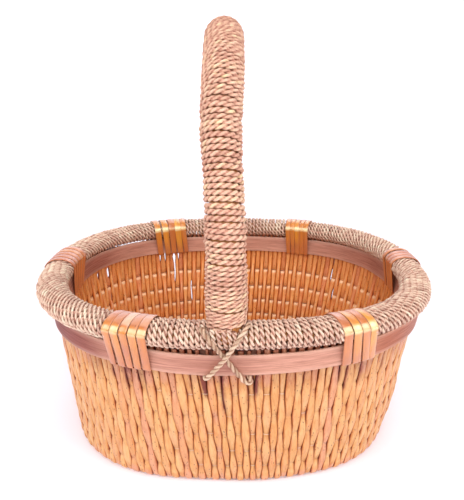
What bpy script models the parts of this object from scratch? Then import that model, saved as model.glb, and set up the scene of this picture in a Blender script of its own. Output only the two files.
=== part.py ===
"""Oval willow gathering basket with a cord-wound rim and a fixed hoop handle.

Metres, +Z up.  The basket stands on z = 0, its long side along X, and the
handle hoop runs over the short side, along Y.
"""
import math

import bmesh
import bpy
from mathutils import Vector

for old in list(bpy.data.objects):
    bpy.data.objects.remove(old, do_unlink=True)

MM = 0.001

# ---------------------------------------------------------------- dimensions
GAP = 0.3                     # clearance between touching pieces, mm

RIM_A, RIM_B, RIM_N = 185.0, 147.5, 2.39      # rim centre line, half axes
RIM_Z = 165.0                                 # rim centre height
RIM_HALF_W, RIM_HALF_H = 15.0, 10.1           # outside of the rim cord
HOOP_HALF_W, HOOP_HALF_H = 9.0, 5.7           # wooden hoop inside the cord
RIM_SIDES = 10

BASE_A, BASE_B, BASE_N = 166.0, 134.8, 2.52   # wall centre line at z = 0
BASE_SHIFT, TOP_SHIFT = -3.15, 3.07           # the wall leans a little in X
BASE_THICK = 12.0
BASE_EDGE = ((0.0, -6.0), (0.8, -2.2), (3.0, 1.2), (6.5, 3.3), (12.0, 4.0))

WALL_HALF = 4.0                               # half thickness of the rods
WALL_TOP = 148.5
TWINE_ROWS = (20.0, 39.0, 60.0, 81.5, 105.5)
TWINE_R = 0.7
GROOVE_DEPTH, GROOVE_HALF = 1.6, 1.4

BAND_BOTTOM, BAND_TOP, BAND_THICK = 129.7, 148.9, 2.2

PANELS = 12
STEPS = 4                                     # stations in one wall panel
STATIONS = PANELS * STEPS

STRIP_W, STRIP_T, STRIP_PITCH, STRIP_GAP = 7.2, 1.0, 8.0, 0.5
SLOT_Z0, SLOT_Z1 = 127.6, 129.8
# name, direction seen from the basket's centre in degrees, turns, way of
# winding, and the share of each turn's advance made on the outside
BINDINGS = (
    ("front_left", -123.0, 5, -1, 1.0),
    ("front_right", -53.8, 4, 1, 0.4),
    ("right", 5.5, 4, 1, 0.8),
    ("back_right", 57.6, 5, 1, 0.9),
    ("back_left", 122.5, 5, -1, 0.9),
    ("left", 174.5, 5, -1, 0.8),
)

HANDLE_X, HANDLE_BOW = -8.0, 2.0
HANDLE_FOOT_Z, HANDLE_SPRING_Z, HANDLE_TOP_Z = 163.0, 178.0, 395.4
HANDLE_WRAP_Z = 175.7
HANDLE_SIDES, HANDLE_STEPS = 10, 13
ROPE_T = 4.9                                  # rope on the handle
RIM_BREAK = 13.0                              # rim cord stops beside the core

CORD_R = 1.9                                  # lashing cord

PANEL_NAMES = ("front", "front_right", "right_front", "right", "right_back",
               "back_right", "back", "back_left", "left_back", "left",
               "left_front", "front_left")

# ---------------------------------------------------------------- collections
body = bpy.data.collections.new("egg_collection_basket")
cutters = bpy.data.collections.new("cutters")
bpy.context.scene.collection.children.link(body)
bpy.context.scene.collection.children.link(cutters)

frame = bpy.data.objects.new("basket_frame", None)
body.objects.link(frame)


def material(name, colour, roughness, metallic=0.0):
    mat = bpy.data.materials.new(name)
    mat.use_nodes = True
    bsdf = mat.node_tree.nodes["Principled BSDF"]
    bsdf.inputs["Base Color"].default_value = (*colour, 1.0)
    bsdf.inputs["Roughness"].default_value = roughness
    bsdf.inputs["Metallic"].default_value = metallic
    return mat


WILLOW = (0.72, 0.37, 0.13)
SPLINT = (0.42, 0.20, 0.13)
SEAGRASS = (0.52, 0.37, 0.22)
CANE = (0.78, 0.36, 0.08)
POLE = (0.38, 0.18, 0.07)
TWINE = (0.66, 0.48, 0.30)


# ---------------------------------------------------------------- oval tools
def radius(phi, a, b, n):
    return (abs(math.cos(phi) / a) ** n + abs(math.sin(phi) / b) ** n) ** (-1.0 / n)


def oval(phi, a, b, n, off):
    """Point of a rounded oval, moved out along its own normal."""
    def spot(p):
        r = radius(p, a, b, n)
        return Vector((r * math.cos(p), r * math.sin(p)))
    step = 1e-4
    tan = (spot(phi + step) - spot(phi - step)).normalized()
    return spot(phi) + off * Vector((tan.y, -tan.x))


def even_angles():
    """Angles of STATIONS points spaced evenly along the rim's centre line.

    Station 0 is half a panel before the middle of the front.
    """
    fine = 7200
    pts = [oval(-math.pi / 2 + 2 * math.pi * i / fine, RIM_A, RIM_B, RIM_N, 0.0)
           for i in range(fine + 1)]
    run = [0.0]
    for p, q in zip(pts, pts[1:]):
        run.append(run[-1] + (q - p).length)
    total = run[-1]
    out, k = [], 0
    for i in range(STATIONS):
        want = (i - STEPS / 2) / STATIONS * total % total
        k = 0
        while run[k + 1] < want:
            k += 1
        f = (want - run[k]) / (run[k + 1] - run[k])
        out.append(-math.pi / 2 + 2 * math.pi * (k + f) / fine)
    return out, total


ANGLE, PERIMETER = even_angles()
PER_STATION = PERIMETER / STATIONS            # mm from station to station


def station_of(phi):
    """Station number, with its fraction, of a direction."""
    for i in range(STATIONS):
        a, b = ANGLE[i], ANGLE[(i + 1) % STATIONS]
        span = (b - a) % (2 * math.pi)
        part = (phi - a) % (2 * math.pi)
        if part < span:
            return i + part / span
    return 0.0


def between(sf, fn):
    """Point at a fractional station, on the chord between two stations."""
    i = math.floor(sf)
    return fn(i % STATIONS).lerp(fn((i + 1) % STATIONS), sf - i)


def wall(z, off):
    k = z / RIM_Z
    a = BASE_A + (RIM_A - BASE_A) * k
    b = BASE_B + (RIM_B - BASE_B) * k
    n = BASE_N + (RIM_N - BASE_N) * k
    shift = BASE_SHIFT + (TOP_SHIFT - BASE_SHIFT) * k

    def at(i):
        p = oval(ANGLE[i], a, b, n, off)
        return Vector((p.x + shift, p.y, z))
    return at


def rim(u, w):
    def at(i):
        p = oval(ANGLE[i], RIM_A, RIM_B, RIM_N, u)
        return Vector((p.x, p.y, RIM_Z + w))
    return at


def rim_ring(half_w, half_h):
    """Functions of station for the corners of an oval rim section."""
    return [rim(half_w * math.cos(2 * math.pi * k / RIM_SIDES),
                half_h * math.sin(2 * math.pi * k / RIM_SIDES))
            for k in range(RIM_SIDES)]


# ---------------------------------------------------------------- mesh tools
def place(name, bm, mat, where=None):
    """Turn a bmesh in millimetres into an object with its origin in its middle."""
    bmesh.ops.recalc_face_normals(bm, faces=bm.faces)
    lo = Vector([min(v.co[k] for v in bm.verts) for k in range(3)])
    hi = Vector([max(v.co[k] for v in bm.verts) for k in range(3)])
    mid = (lo + hi) / 2
    bmesh.ops.translate(bm, vec=-mid, verts=bm.verts)
    bmesh.ops.scale(bm, vec=(MM, MM, MM), verts=bm.verts)
    mesh = bpy.data.meshes.new(name)
    bm.to_mesh(mesh)
    bm.free()
    obj = bpy.data.objects.new(name, mesh)
    obj.location = mid * MM
    (where or body).objects.link(obj)
    if mat:
        mesh.materials.append(mat)
    if where is cutters:
        obj.hide_render = True
        obj.display_type = "WIRE"
    else:
        obj.parent = frame
    return obj


def skin(bm, first, second):
    n = len(first)
    for k in range(n):
        bm.faces.new((first[k], first[(k + 1) % n], second[(k + 1) % n], second[k]))


def loft(name, sections, mat, ring=False, where=None):
    """Closed solid through a row of like sections, joined round if ring."""
    bm = bmesh.new()
    rows = [[bm.verts.new(p) for p in sec] for sec in sections]
    for a, b in zip(rows, rows[1:]):
        skin(bm, a, b)
    if ring:
        skin(bm, rows[-1], rows[0])
    else:
        bm.faces.new(rows[0])
        bm.faces.new(rows[-1])
    return place(name, bm, mat, where)


def sleeve(name, outer, inner, mat):
    """Tube with a wall, open at both ends."""
    bm = bmesh.new()
    out = [[bm.verts.new(p) for p in sec] for sec in outer]
    inn = [[bm.verts.new(p) for p in sec] for sec in inner]
    for rows in (out, inn):
        for a, b in zip(rows, rows[1:]):
            skin(bm, a, b)
    skin(bm, out[0], inn[0])
    skin(bm, out[-1], inn[-1])
    return place(name, bm, mat)


def cut(obj, cutter):
    mod = obj.modifiers.new("cut_" + cutter.name, "BOOLEAN")
    mod.operation = "DIFFERENCE"
    mod.solver = "EXACT"
    mod.object = cutter


def wire(name, points, r, mat, cyclic=False, resolution=0):
    """Round cord along points given in millimetres."""
    origin = sum(points, Vector()) / len(points)
    curve = bpy.data.curves.new(name, "CURVE")
    curve.dimensions = "3D"
    curve.bevel_depth = r * MM
    curve.bevel_resolution = resolution
    curve.use_fill_caps = True
    spline = curve.splines.new("POLY")
    spline.points.add(len(points) - 1)
    for sp, p in zip(spline.points, points):
        sp.co = (*((p - origin) * MM), 1.0)
    spline.use_cyclic_u = cyclic
    curve.materials.append(mat)
    obj = bpy.data.objects.new(name, curve)
    obj.location = origin * MM
    body.objects.link(obj)
    obj.parent = frame
    return obj


# ---------------------------------------------------------------- base mat
loft("base_mat",
     [[wall(z, off)(i) for i in range(STATIONS)] for z, off in BASE_EDGE],
     material("base_mat", WILLOW, 0.6))

# ---------------------------------------------------------------- wall panels
profile = [(WALL_HALF, BASE_THICK + GAP)]
for z in TWINE_ROWS:
    profile += [(WALL_HALF, z - GROOVE_HALF),
                (WALL_HALF - GROOVE_DEPTH, z - GROOVE_HALF + 0.4),
                (WALL_HALF - GROOVE_DEPTH, z + GROOVE_HALF - 0.4),
                (WALL_HALF, z + GROOVE_HALF)]
profile += [(WALL_HALF, WALL_TOP), (-WALL_HALF, WALL_TOP),
            (-WALL_HALF, BASE_THICK + GAP)]

end = GAP / 2 / PER_STATION
panels = []
for k, place_name in enumerate(PANEL_NAMES):
    stops = [STEPS * k + end] + [STEPS * k + j for j in range(1, STEPS)] \
        + [STEPS * (k + 1) - end]
    sections = [[between(sf, wall(z, off)) for off, z in profile] for sf in stops]
    panels.append(loft("wall_rods_" + place_name, sections,
                       material("wall_rods_" + place_name, WILLOW, 0.5)))

# ---------------------------------------------------------------- twine rows
for k, z in enumerate(TWINE_ROWS):
    off = WALL_HALF - GROOVE_DEPTH + GAP + TWINE_R
    wire("twine_row_%d" % (k + 1), [wall(z, off)(i) for i in range(STATIONS)],
         TWINE_R, material("twine_row_%d" % (k + 1), TWINE, 0.8), cyclic=True)


# ---------------------------------------------------------------- bands
def band(name, off0, off1):
    corners = ((off0, BAND_BOTTOM), (off1, BAND_BOTTOM), (off1, BAND_TOP), (off0, BAND_TOP))
    loft(name, [[wall(z, off)(i) for off, z in corners] for i in range(STATIONS)],
         material(name, SPLINT, 0.55), ring=True)


band("outer_band", WALL_HALF + GAP, WALL_HALF + GAP + BAND_THICK)
band("inner_band", -WALL_HALF - GAP - BAND_THICK, -WALL_HALF - GAP)

# ---------------------------------------------------------------- rim
hoop = rim_ring(HOOP_HALF_W, HOOP_HALF_H)
loft("rim_hoop", [[fn(i) for fn in hoop] for i in range(STATIONS)],
     material("rim_hoop", POLE, 0.5), ring=True)

handle_front = station_of(math.atan2(-RIM_B, HANDLE_X))
handle_back = station_of(math.atan2(RIM_B, HANDLE_X))
gap_st = RIM_BREAK / PER_STATION
where = {name: station_of(math.radians(deg)) for name, deg, turns, way, share in BINDINGS}
spans = (
    ("front_right", handle_front + gap_st, where["front_right"] - end),
    ("right_front", where["front_right"] + end, where["right"] - end),
    ("right_back", where["right"] + end, where["back_right"] - end),
    ("back_right", where["back_right"] + end, handle_back - gap_st),
    ("back_left", handle_back + gap_st, where["back_left"] - end),
    ("left_back", where["back_left"] + end, where["left"] - end),
    ("left_front", where["left"] + end, where["front_left"] - end),
    ("front_left", where["front_left"] + end, handle_front - gap_st),
)
outer_ring = rim_ring(RIM_HALF_W, RIM_HALF_H)
inner_ring = rim_ring(HOOP_HALF_W + 0.5, HOOP_HALF_H + 0.5)
for name, start, stop in spans:
    if stop < start:
        stop += STATIONS
    stops = [start] + [i for i in range(math.ceil(start + 0.02), math.floor(stop - 0.02) + 1)] + [stop]
    sleeve("rim_wrap_" + name,
           [[between(sf, fn) for fn in outer_ring] for sf in stops],
           [[between(sf, fn) for fn in inner_ring] for sf in stops],
           material("rim_wrap_" + name, SEAGRASS, 0.85))


# ---------------------------------------------------------------- cane bindings
def strip_section(sf, inner, outer):
    half = STRIP_W / 2 / PER_STATION
    return [between(sf - half, inner), between(sf + half, inner),
            between(sf + half, outer), between(sf - half, outer)]


def bind(name, middle, turns, way, share):
    """One flat strip wound over the rim and under both bands."""
    mid_z = (SLOT_Z0 + SLOT_Z1) / 2
    half_t = STRIP_T / 2
    face = WALL_HALF + GAP + BAND_THICK + STRIP_GAP
    near_w, near_h = RIM_HALF_W + STRIP_GAP, RIM_HALF_H + STRIP_GAP
    far_w, far_h = near_w + STRIP_T, near_h + STRIP_T
    step = way * STRIP_PITCH / PER_STATION
    first = middle - step * (turns - 1) / 2
    slot = (wall(mid_z + half_t, 0.0), wall(mid_z - half_t, 0.0))
    out_low = (wall(mid_z + half_t, face), wall(mid_z - half_t, face + STRIP_T))
    in_low = (wall(mid_z + half_t, -face), wall(mid_z - half_t, -face - STRIP_T))
    lean = step * share                       # advance on the outside
    back = step - lean                        # advance on the inside
    sections = [strip_section(first - lean, *slot)]
    for turn in range(turns):
        sf = first + step * turn
        sections.append(strip_section(sf - lean, *out_low))
        for k in range(RIM_SIDES // 2 + 1):
            c = math.cos(2 * math.pi * k / RIM_SIDES)
            s = math.sin(2 * math.pi * k / RIM_SIDES)
            sections.append(strip_section(sf, rim(near_w * c, near_h * s), rim(far_w * c, far_h * s)))
        sections.append(strip_section(sf + back, *in_low))
    final = first + step * (turns - 1) + back
    sections.append(strip_section(final, *slot))
    loft("cane_binding_" + name, sections, material("cane_binding_" + name, CANE, 0.25))
    # the way through the wall
    lo = min(first - lean, final) - (STRIP_W / 2 + 0.7) / PER_STATION
    hi = max(first - lean, final) + (STRIP_W / 2 + 0.7) / PER_STATION
    stops = [lo] + [i for i in range(math.ceil(lo + 0.02), math.floor(hi - 0.02) + 1)] + [hi]
    box = ((-7.0, SLOT_Z0), (7.0, SLOT_Z0), (7.0, SLOT_Z1), (-7.0, SLOT_Z1))
    tool = loft("slot_" + name, [[between(sf, wall(z, off)) for off, z in box] for sf in stops],
                None, where=cutters)
    for k in range(PANELS):
        if any(lo - n * STATIONS < STEPS * (k + 1) and hi - n * STATIONS > STEPS * k for n in (-1, 0, 1)):
            cut(panels[k], tool)


for name, deg, turns, way, share in BINDINGS:
    bind(name, where[name], turns, way, share)


# ---------------------------------------------------------------- handle
def wrap_radius(t):
    """Outside of the wound rope, from a foot (0) to the top (quarter turn)."""
    return 16.75 + 0.25 * t / (math.pi / 2) - 1.6 * math.exp(-((t - 0.5) / 0.3) ** 2)


def foot_y():
    return between(handle_front, rim(0.0, 0.0)).y


def handle_path():
    """Centre line points with their wrap radius, front foot to back foot."""
    y0 = -foot_y()
    half = []
    for k in range(HANDLE_STEPS + 1):
        t = math.pi / 2 * k / HANDLE_STEPS
        half.append((t, y0 * math.cos(t) if k < HANDLE_STEPS else 0.0,
                     HANDLE_SPRING_Z + (HANDLE_TOP_Z - HANDLE_SPRING_Z) * math.sin(t)))
    out = [(Vector((HANDLE_X - HANDLE_BOW * math.sin(2 * t), -y, z)), wrap_radius(t)) for t, y, z in half]
    out += [(Vector((HANDLE_X, y, z)), wrap_radius(t)) for t, y, z in half[-2::-1]]
    return out


def rings_along(points, radii):
    rows = []
    for i, (p, r) in enumerate(zip(points, radii)):
        tan = (points[min(i + 1, len(points) - 1)] - points[max(i - 1, 0)]).normalized()
        side = (Vector((1, 0, 0)) - tan * tan.x).normalized()
        up = tan.cross(side)
        rows.append([p + r * (side * math.cos(2 * math.pi * k / HANDLE_SIDES)
                              + up * math.sin(2 * math.pi * k / HANDLE_SIDES))
                     for k in range(HANDLE_SIDES)])
    return rows


path = handle_path()
spine = [p for p, r in path]
wraps = [r for p, r in path]


def with_feet(z):
    front, back = spine[0].copy(), spine[-1].copy()
    front.z = back.z = z
    return [front] + spine + [back]


radii = [wraps[0]] + wraps + [wraps[-1]]
core = loft("handle_core",
            rings_along(with_feet(HANDLE_FOOT_Z), [r - ROPE_T for r in radii]),
            material("handle_core", POLE, 0.5))
line = with_feet(HANDLE_WRAP_Z)
sleeve("handle_wrap", rings_along(line, radii),
       rings_along(line, [r - ROPE_T + GAP + 0.1 for r in radii]),
       material("handle_wrap", SEAGRASS, 0.85))

notch = rim_ring(HOOP_HALF_W + 0.4, HOOP_HALF_H + 0.4)
for name, sf in (("front", handle_front), ("back", handle_back)):
    lo, hi = sf - 25 / PER_STATION, sf + 25 / PER_STATION
    stops = [lo] + [i for i in range(math.ceil(lo), math.floor(hi) + 1)] + [hi]
    cut(core, loft("saddle_" + name, [[between(q, fn) for fn in notch] for q in stops],
                   None, where=cutters))


# ---------------------------------------------------------------- lashings
def lash(name, middle, way, run):
    """Cord from beside the handle foot, over the rim and down into the wall."""
    pts = []
    for along, kind, a, b in run:
        sf = middle + way * along / PER_STATION
        if kind == "rim":
            reach_w = RIM_HALF_W + CORD_R + 0.7
            reach_h = RIM_HALF_H + CORD_R + 0.7
            fn = rim(reach_w * math.cos(math.radians(a)), reach_h * math.sin(math.radians(a)))
        else:
            fn = wall(b, a)
        pts.append(between(sf, fn))
    wire(name, pts, CORD_R, material(name, TWINE, 0.8), resolution=1)


def over(side, cross, low):
    """Way of one cord: side it starts on, height at the crossing, lower end."""
    return ((side * 19.5, "rim", 118, 0), (side * 19.2, "rim", 90, 0),
            (side * 18.4, "rim", 72, 0), (side * 15.2, "rim", 36, 0),
            (side * 10.8, "rim", 2, 0), (side * 8.0, "rim", -14, 0),
            (2.0, "wall", cross, 146.5),
            (low * 0.62, "wall", 9.0, 131.0),
            (low, "wall", 8.3, 126.6), (low * 1.08, "wall", 6.3, 125.2))


for name, sf, way in (("front", handle_front, 1), ("back", handle_back, 1)):
    lash("lashing_%s_over" % name, sf, way, over(1, 13.5, -16.5))
    lash("lashing_%s_under" % name, sf, way, over(-1, 9.3, 22.0))
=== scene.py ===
"""Looks of the oval willow gathering basket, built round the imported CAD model.

Lengths below are millimetres in the row frame; meshes are written in metres.
"""

import math

import bpy
import numpy as np
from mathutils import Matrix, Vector


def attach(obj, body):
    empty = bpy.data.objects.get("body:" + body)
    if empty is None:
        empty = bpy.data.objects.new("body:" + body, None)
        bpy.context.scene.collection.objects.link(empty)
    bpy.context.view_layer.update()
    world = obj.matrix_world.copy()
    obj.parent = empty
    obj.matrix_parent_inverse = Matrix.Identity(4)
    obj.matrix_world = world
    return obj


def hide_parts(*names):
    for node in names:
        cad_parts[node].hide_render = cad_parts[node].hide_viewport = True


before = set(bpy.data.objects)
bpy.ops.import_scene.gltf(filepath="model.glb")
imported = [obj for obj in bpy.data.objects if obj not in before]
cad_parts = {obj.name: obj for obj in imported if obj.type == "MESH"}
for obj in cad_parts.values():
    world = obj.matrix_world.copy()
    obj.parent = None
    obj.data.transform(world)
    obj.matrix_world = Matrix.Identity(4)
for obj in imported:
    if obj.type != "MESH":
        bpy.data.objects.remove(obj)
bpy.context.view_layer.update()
PI = math.pi

# ------------------------------------------------------------------ CAD sizes
RIM_A, RIM_B, RIM_N = 185.0, 147.5, 2.39
RIM_Z, RIM_HALF_W, RIM_HALF_H = 165.0, 15.0, 10.1
HOOP_HALF_W, HOOP_HALF_H = 9.0, 5.7
BASE_A, BASE_B, BASE_N = 166.0, 134.8, 2.52
BASE_SHIFT, TOP_SHIFT = -3.15, 3.07
TWINE_ROWS = (20.0, 39.0, 60.0, 81.5, 105.5)
BAND_BOTTOM, BAND_TOP = 129.7, 148.9
HANDLE_X, HANDLE_BOW = -8.0, 2.0
HANDLE_SPRING_Z, HANDLE_TOP_Z = 178.0, 395.4
PANEL_NAMES = ("front", "front_right", "right_front", "right", "right_back",
               "back_right", "back", "back_left", "left_back", "left",
               "left_front", "front_left")


# ------------------------------------------------------------------ oval tools
def oval(phi, a, b, n, off):
    def spot(p):
        r = (np.abs(np.cos(p) / a) ** n + np.abs(np.sin(p) / b) ** n) ** (-1.0 / n)
        return r * np.cos(p), r * np.sin(p)
    x0, y0 = spot(phi - 1e-4)
    x1, y1 = spot(phi + 1e-4)
    tx, ty = x1 - x0, y1 - y0
    size = np.hypot(tx, ty)
    x, y = spot(phi)
    return x + off * ty / size, y - off * tx / size


_fine = np.linspace(-PI / 2, 1.5 * PI, 14401)
_x, _y = oval(_fine, RIM_A, RIM_B, RIM_N, 0.0)
_run = np.concatenate(([0.0], np.cumsum(np.hypot(np.diff(_x), np.diff(_y)))))
PERIMETER = _run[-1]
_run = _run / PERIMETER


def phi_of(s):
    """Direction at share s of the way round, from the middle of the front."""
    return np.interp(s - np.floor(s), _run, _fine)


def s_of(phi):
    return float(np.interp((phi + PI / 2) % (2 * PI) - PI / 2, _fine, _run))


def wall(s, z, off):
    """Points of the wall: share round, height, distance out from its middle."""
    s, z, off = np.broadcast_arrays(*(np.asarray(v, float) for v in (s, z, off)))
    k = z / RIM_Z
    x, y = oval(phi_of(s), BASE_A + (RIM_A - BASE_A) * k, BASE_B + (RIM_B - BASE_B) * k,
                BASE_N + (RIM_N - BASE_N) * k, off)
    return np.stack([x + BASE_SHIFT + (TOP_SHIFT - BASE_SHIFT) * k, y, z], -1)


def rim(s, u, w):
    """Points about the rim's centre line: share round, out, up."""
    s, u, w = np.broadcast_arrays(*(np.asarray(v, float) for v in (s, u, w)))
    x, y = oval(phi_of(s), RIM_A, RIM_B, RIM_N, u)
    return np.stack([x, y, RIM_Z + w], -1)


def unit(v):
    return v / np.maximum(np.linalg.norm(v, axis=-1, keepdims=True), 1e-12)


def noise(x, seed, period=4096):
    """Smooth value noise from -1 to 1 that repeats after period."""
    table = np.random.default_rng(seed).uniform(-1, 1, period)
    i = np.floor(x).astype(int)
    f = x - i
    f = f * f * (3 - 2 * f)
    return table[i % period] * (1 - f) + table[(i + 1) % period] * f


def step(x, lo, hi):
    t = np.clip((x - lo) / (hi - lo), 0, 1)
    return t * t * (3 - 2 * t)


# ------------------------------------------------------------------ mesh tools
class Piece:
    """Collects closed tubes into one mesh, with the points each material reads:
    loc (along the fibre, then two ways across it), tone, side, and one value for real marks that also carries painted
    shade and painted highlights."""

    def __init__(self):
        self.v, self.loops, self.counts, self.cells, self.uv = [], [], [], [], []
        self.loc, self.tone, self.side, self.marks_and_painted_light = [], [], [], []
        self.n = self.cell_n = 0

    def tubes(self, rings, loc, tone, side, closed=False, girth=8.0, marks_and_painted_light=None):
        """rings: tubes x rings x sides x 3."""
        b, r, m = rings.shape[:3]
        marks_and_painted_light = np.zeros((b, r, m)) if marks_and_painted_light is None else marks_and_painted_light
        base = self.n
        idx = base + np.arange(b * r * m).reshape(b, r, m)
        rows = r if closed else r - 1
        nxt = (np.arange(rows) + 1) % r
        a0, a1 = idx[:, :rows], idx[:, nxt]
        quads = np.stack([a0, np.roll(a0, -1, 2), np.roll(a1, -1, 2), a1], -1)
        length = np.linalg.norm(np.diff(rings.mean(2), axis=1), axis=-1).sum(1).mean()
        q = max(2, int(round(4 * girth / max(length / max(rows, 1), 1e-6))))
        segs = -(-rows // q)
        rr, mm = np.arange(rows), np.arange(m)
        u0 = 0.05 + 0.9 * (rr % q) / q
        u1 = 0.05 + 0.9 * (rr % q + 1) / q
        v0, v1 = mm / m, (mm + 1) / m
        uv = np.zeros((b, rows, m, 4, 2))
        uv[..., 0, 0] = uv[..., 1, 0] = u0[None, :, None]
        uv[..., 2, 0] = uv[..., 3, 0] = u1[None, :, None]
        uv[..., 0, 1] = uv[..., 3, 1] = v0
        uv[..., 1, 1] = uv[..., 2, 1] = v1
        cell = self.cell_n + np.arange(b)[:, None, None] * segs + (rr // q)[None, :, None] + np.zeros((1, 1, m), int)
        verts = rings.reshape(-1, 3)
        # which way the faces look, from the signed volume
        p = rings.reshape(b * r * m, 3)
        f = (quads - base).reshape(-1, 4)
        mid = p.mean(0)
        vol = np.einsum("ij,ij->i", p[f[:, 0]] - mid, np.cross(p[f[:, 1]] - mid, p[f[:, 2]] - mid)).sum()
        flip = vol < 0
        lo, to, si, di = loc.reshape(-1, 3), tone.reshape(-1), side.reshape(-1), marks_and_painted_light.reshape(-1)
        tris, tuv, tcell = [], [], []
        if not closed:
            poles = rings[:, (0, -1)].mean(2)
            pid = base + b * r * m + np.arange(2 * b).reshape(b, 2)
            verts = np.concatenate([verts, poles.reshape(-1, 3)])
            lo = np.concatenate([lo, loc[:, (0, -1)].mean(2).reshape(-1, 3)])
            to = np.concatenate([to, tone[:, (0, -1)].mean(2).reshape(-1)])
            si = np.concatenate([si, side[:, (0, -1)].mean(2).reshape(-1)])
            di = np.concatenate([di, marks_and_painted_light[:, (0, -1)].mean(2).reshape(-1)])
            for end, (ring, u_ring, u_pole, seg) in enumerate((
                    (idx[:, 0], 0.05, 0.0, 0), (idx[:, -1], u1[-1], min(1.0, u1[-1] + 0.05), segs - 1))):
                pole = np.broadcast_to(pid[:, end, None], ring.shape)
                t = np.stack([pole, np.roll(ring, -1, 1), ring] if end == 0 else
                             [pole, ring, np.roll(ring, -1, 1)], -1)
                w = np.zeros((b, m, 3, 2))
                w[..., 0, 0], w[..., 1:, 0] = u_pole, u_ring
                w[..., 0, 1] = (v0 + v1) / 2
                w[..., 1, 1], w[..., 2, 1] = (v1, v0) if end == 0 else (v0, v1)
                tris.append(t.reshape(-1, 3))
                tuv.append(w.reshape(-1, 3, 2))
                tcell.append(np.repeat(self.cell_n + np.arange(b) * segs + seg, m))
        self.v.append(verts)
        self.loc.append(lo)
        self.tone.append(to)
        self.side.append(si)
        self.marks_and_painted_light.append(di)
        for faces, fuv, fcell in [(quads.reshape(-1, 4), uv.reshape(-1, 4, 2), cell.reshape(-1))] + list(zip(tris, tuv, tcell)):
            k = faces.shape[1]
            if flip:
                faces, fuv = faces[:, ::-1], fuv[:, ::-1]
            self.loops.append(faces.reshape(-1))
            self.counts.append(np.full(len(faces), k))
            self.uv.append(fuv.reshape(-1, 2))
            self.cells.append(np.repeat(fcell, k))
        self.n += len(verts)
        self.cell_n += b * segs

    def make(self, name, material, slot, *nodes):
        v = np.concatenate(self.v) * 0.001
        loops, counts = np.concatenate(self.loops), np.concatenate(self.counts)
        me = bpy.data.meshes.new(name)
        me.vertices.add(len(v))
        me.vertices.foreach_set("co", v.astype(np.float32).ravel())
        me.loops.add(len(loops))
        me.loops.foreach_set("vertex_index", loops.astype(np.int32))
        me.polygons.add(len(counts))
        me.polygons.foreach_set("loop_start", np.concatenate(([0], np.cumsum(counts)[:-1])).astype(np.int32))
        me.update(calc_edges=True)
        me.polygons.foreach_set("use_smooth", np.ones(len(counts), bool))
        cols = max(1, round(math.sqrt(self.cell_n / 4)))
        rows = -(-self.cell_n // cols)
        cell, uv = np.concatenate(self.cells), np.concatenate(self.uv)
        uv = np.stack([(cell % cols + 0.02 + 0.96 * uv[:, 0]) / cols,
                       (cell // cols + 0.04 + 0.92 * uv[:, 1]) / rows], -1)
        layer = me.uv_layers.new(name="OFBake")
        layer.data.foreach_set("uv", uv.astype(np.float32).ravel())
        me.attributes.new("loc", "FLOAT_VECTOR", "POINT").data.foreach_set(
            "vector", np.concatenate(self.loc).astype(np.float32).ravel())
        for key, data in (("tone", self.tone), ("side", self.side), ("marks_and_painted_light", self.marks_and_painted_light)):
            me.attributes.new(key, "FLOAT", "POINT").data.foreach_set(
                "value", np.concatenate(data).astype(np.float32).ravel())
        me.validate()
        me.materials.append(material)
        obj = bpy.data.objects.new(name, me)
        bpy.context.scene.collection.objects.link(obj)
        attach(obj, "root")
        if nodes:
            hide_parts(*nodes)
        return obj


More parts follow.
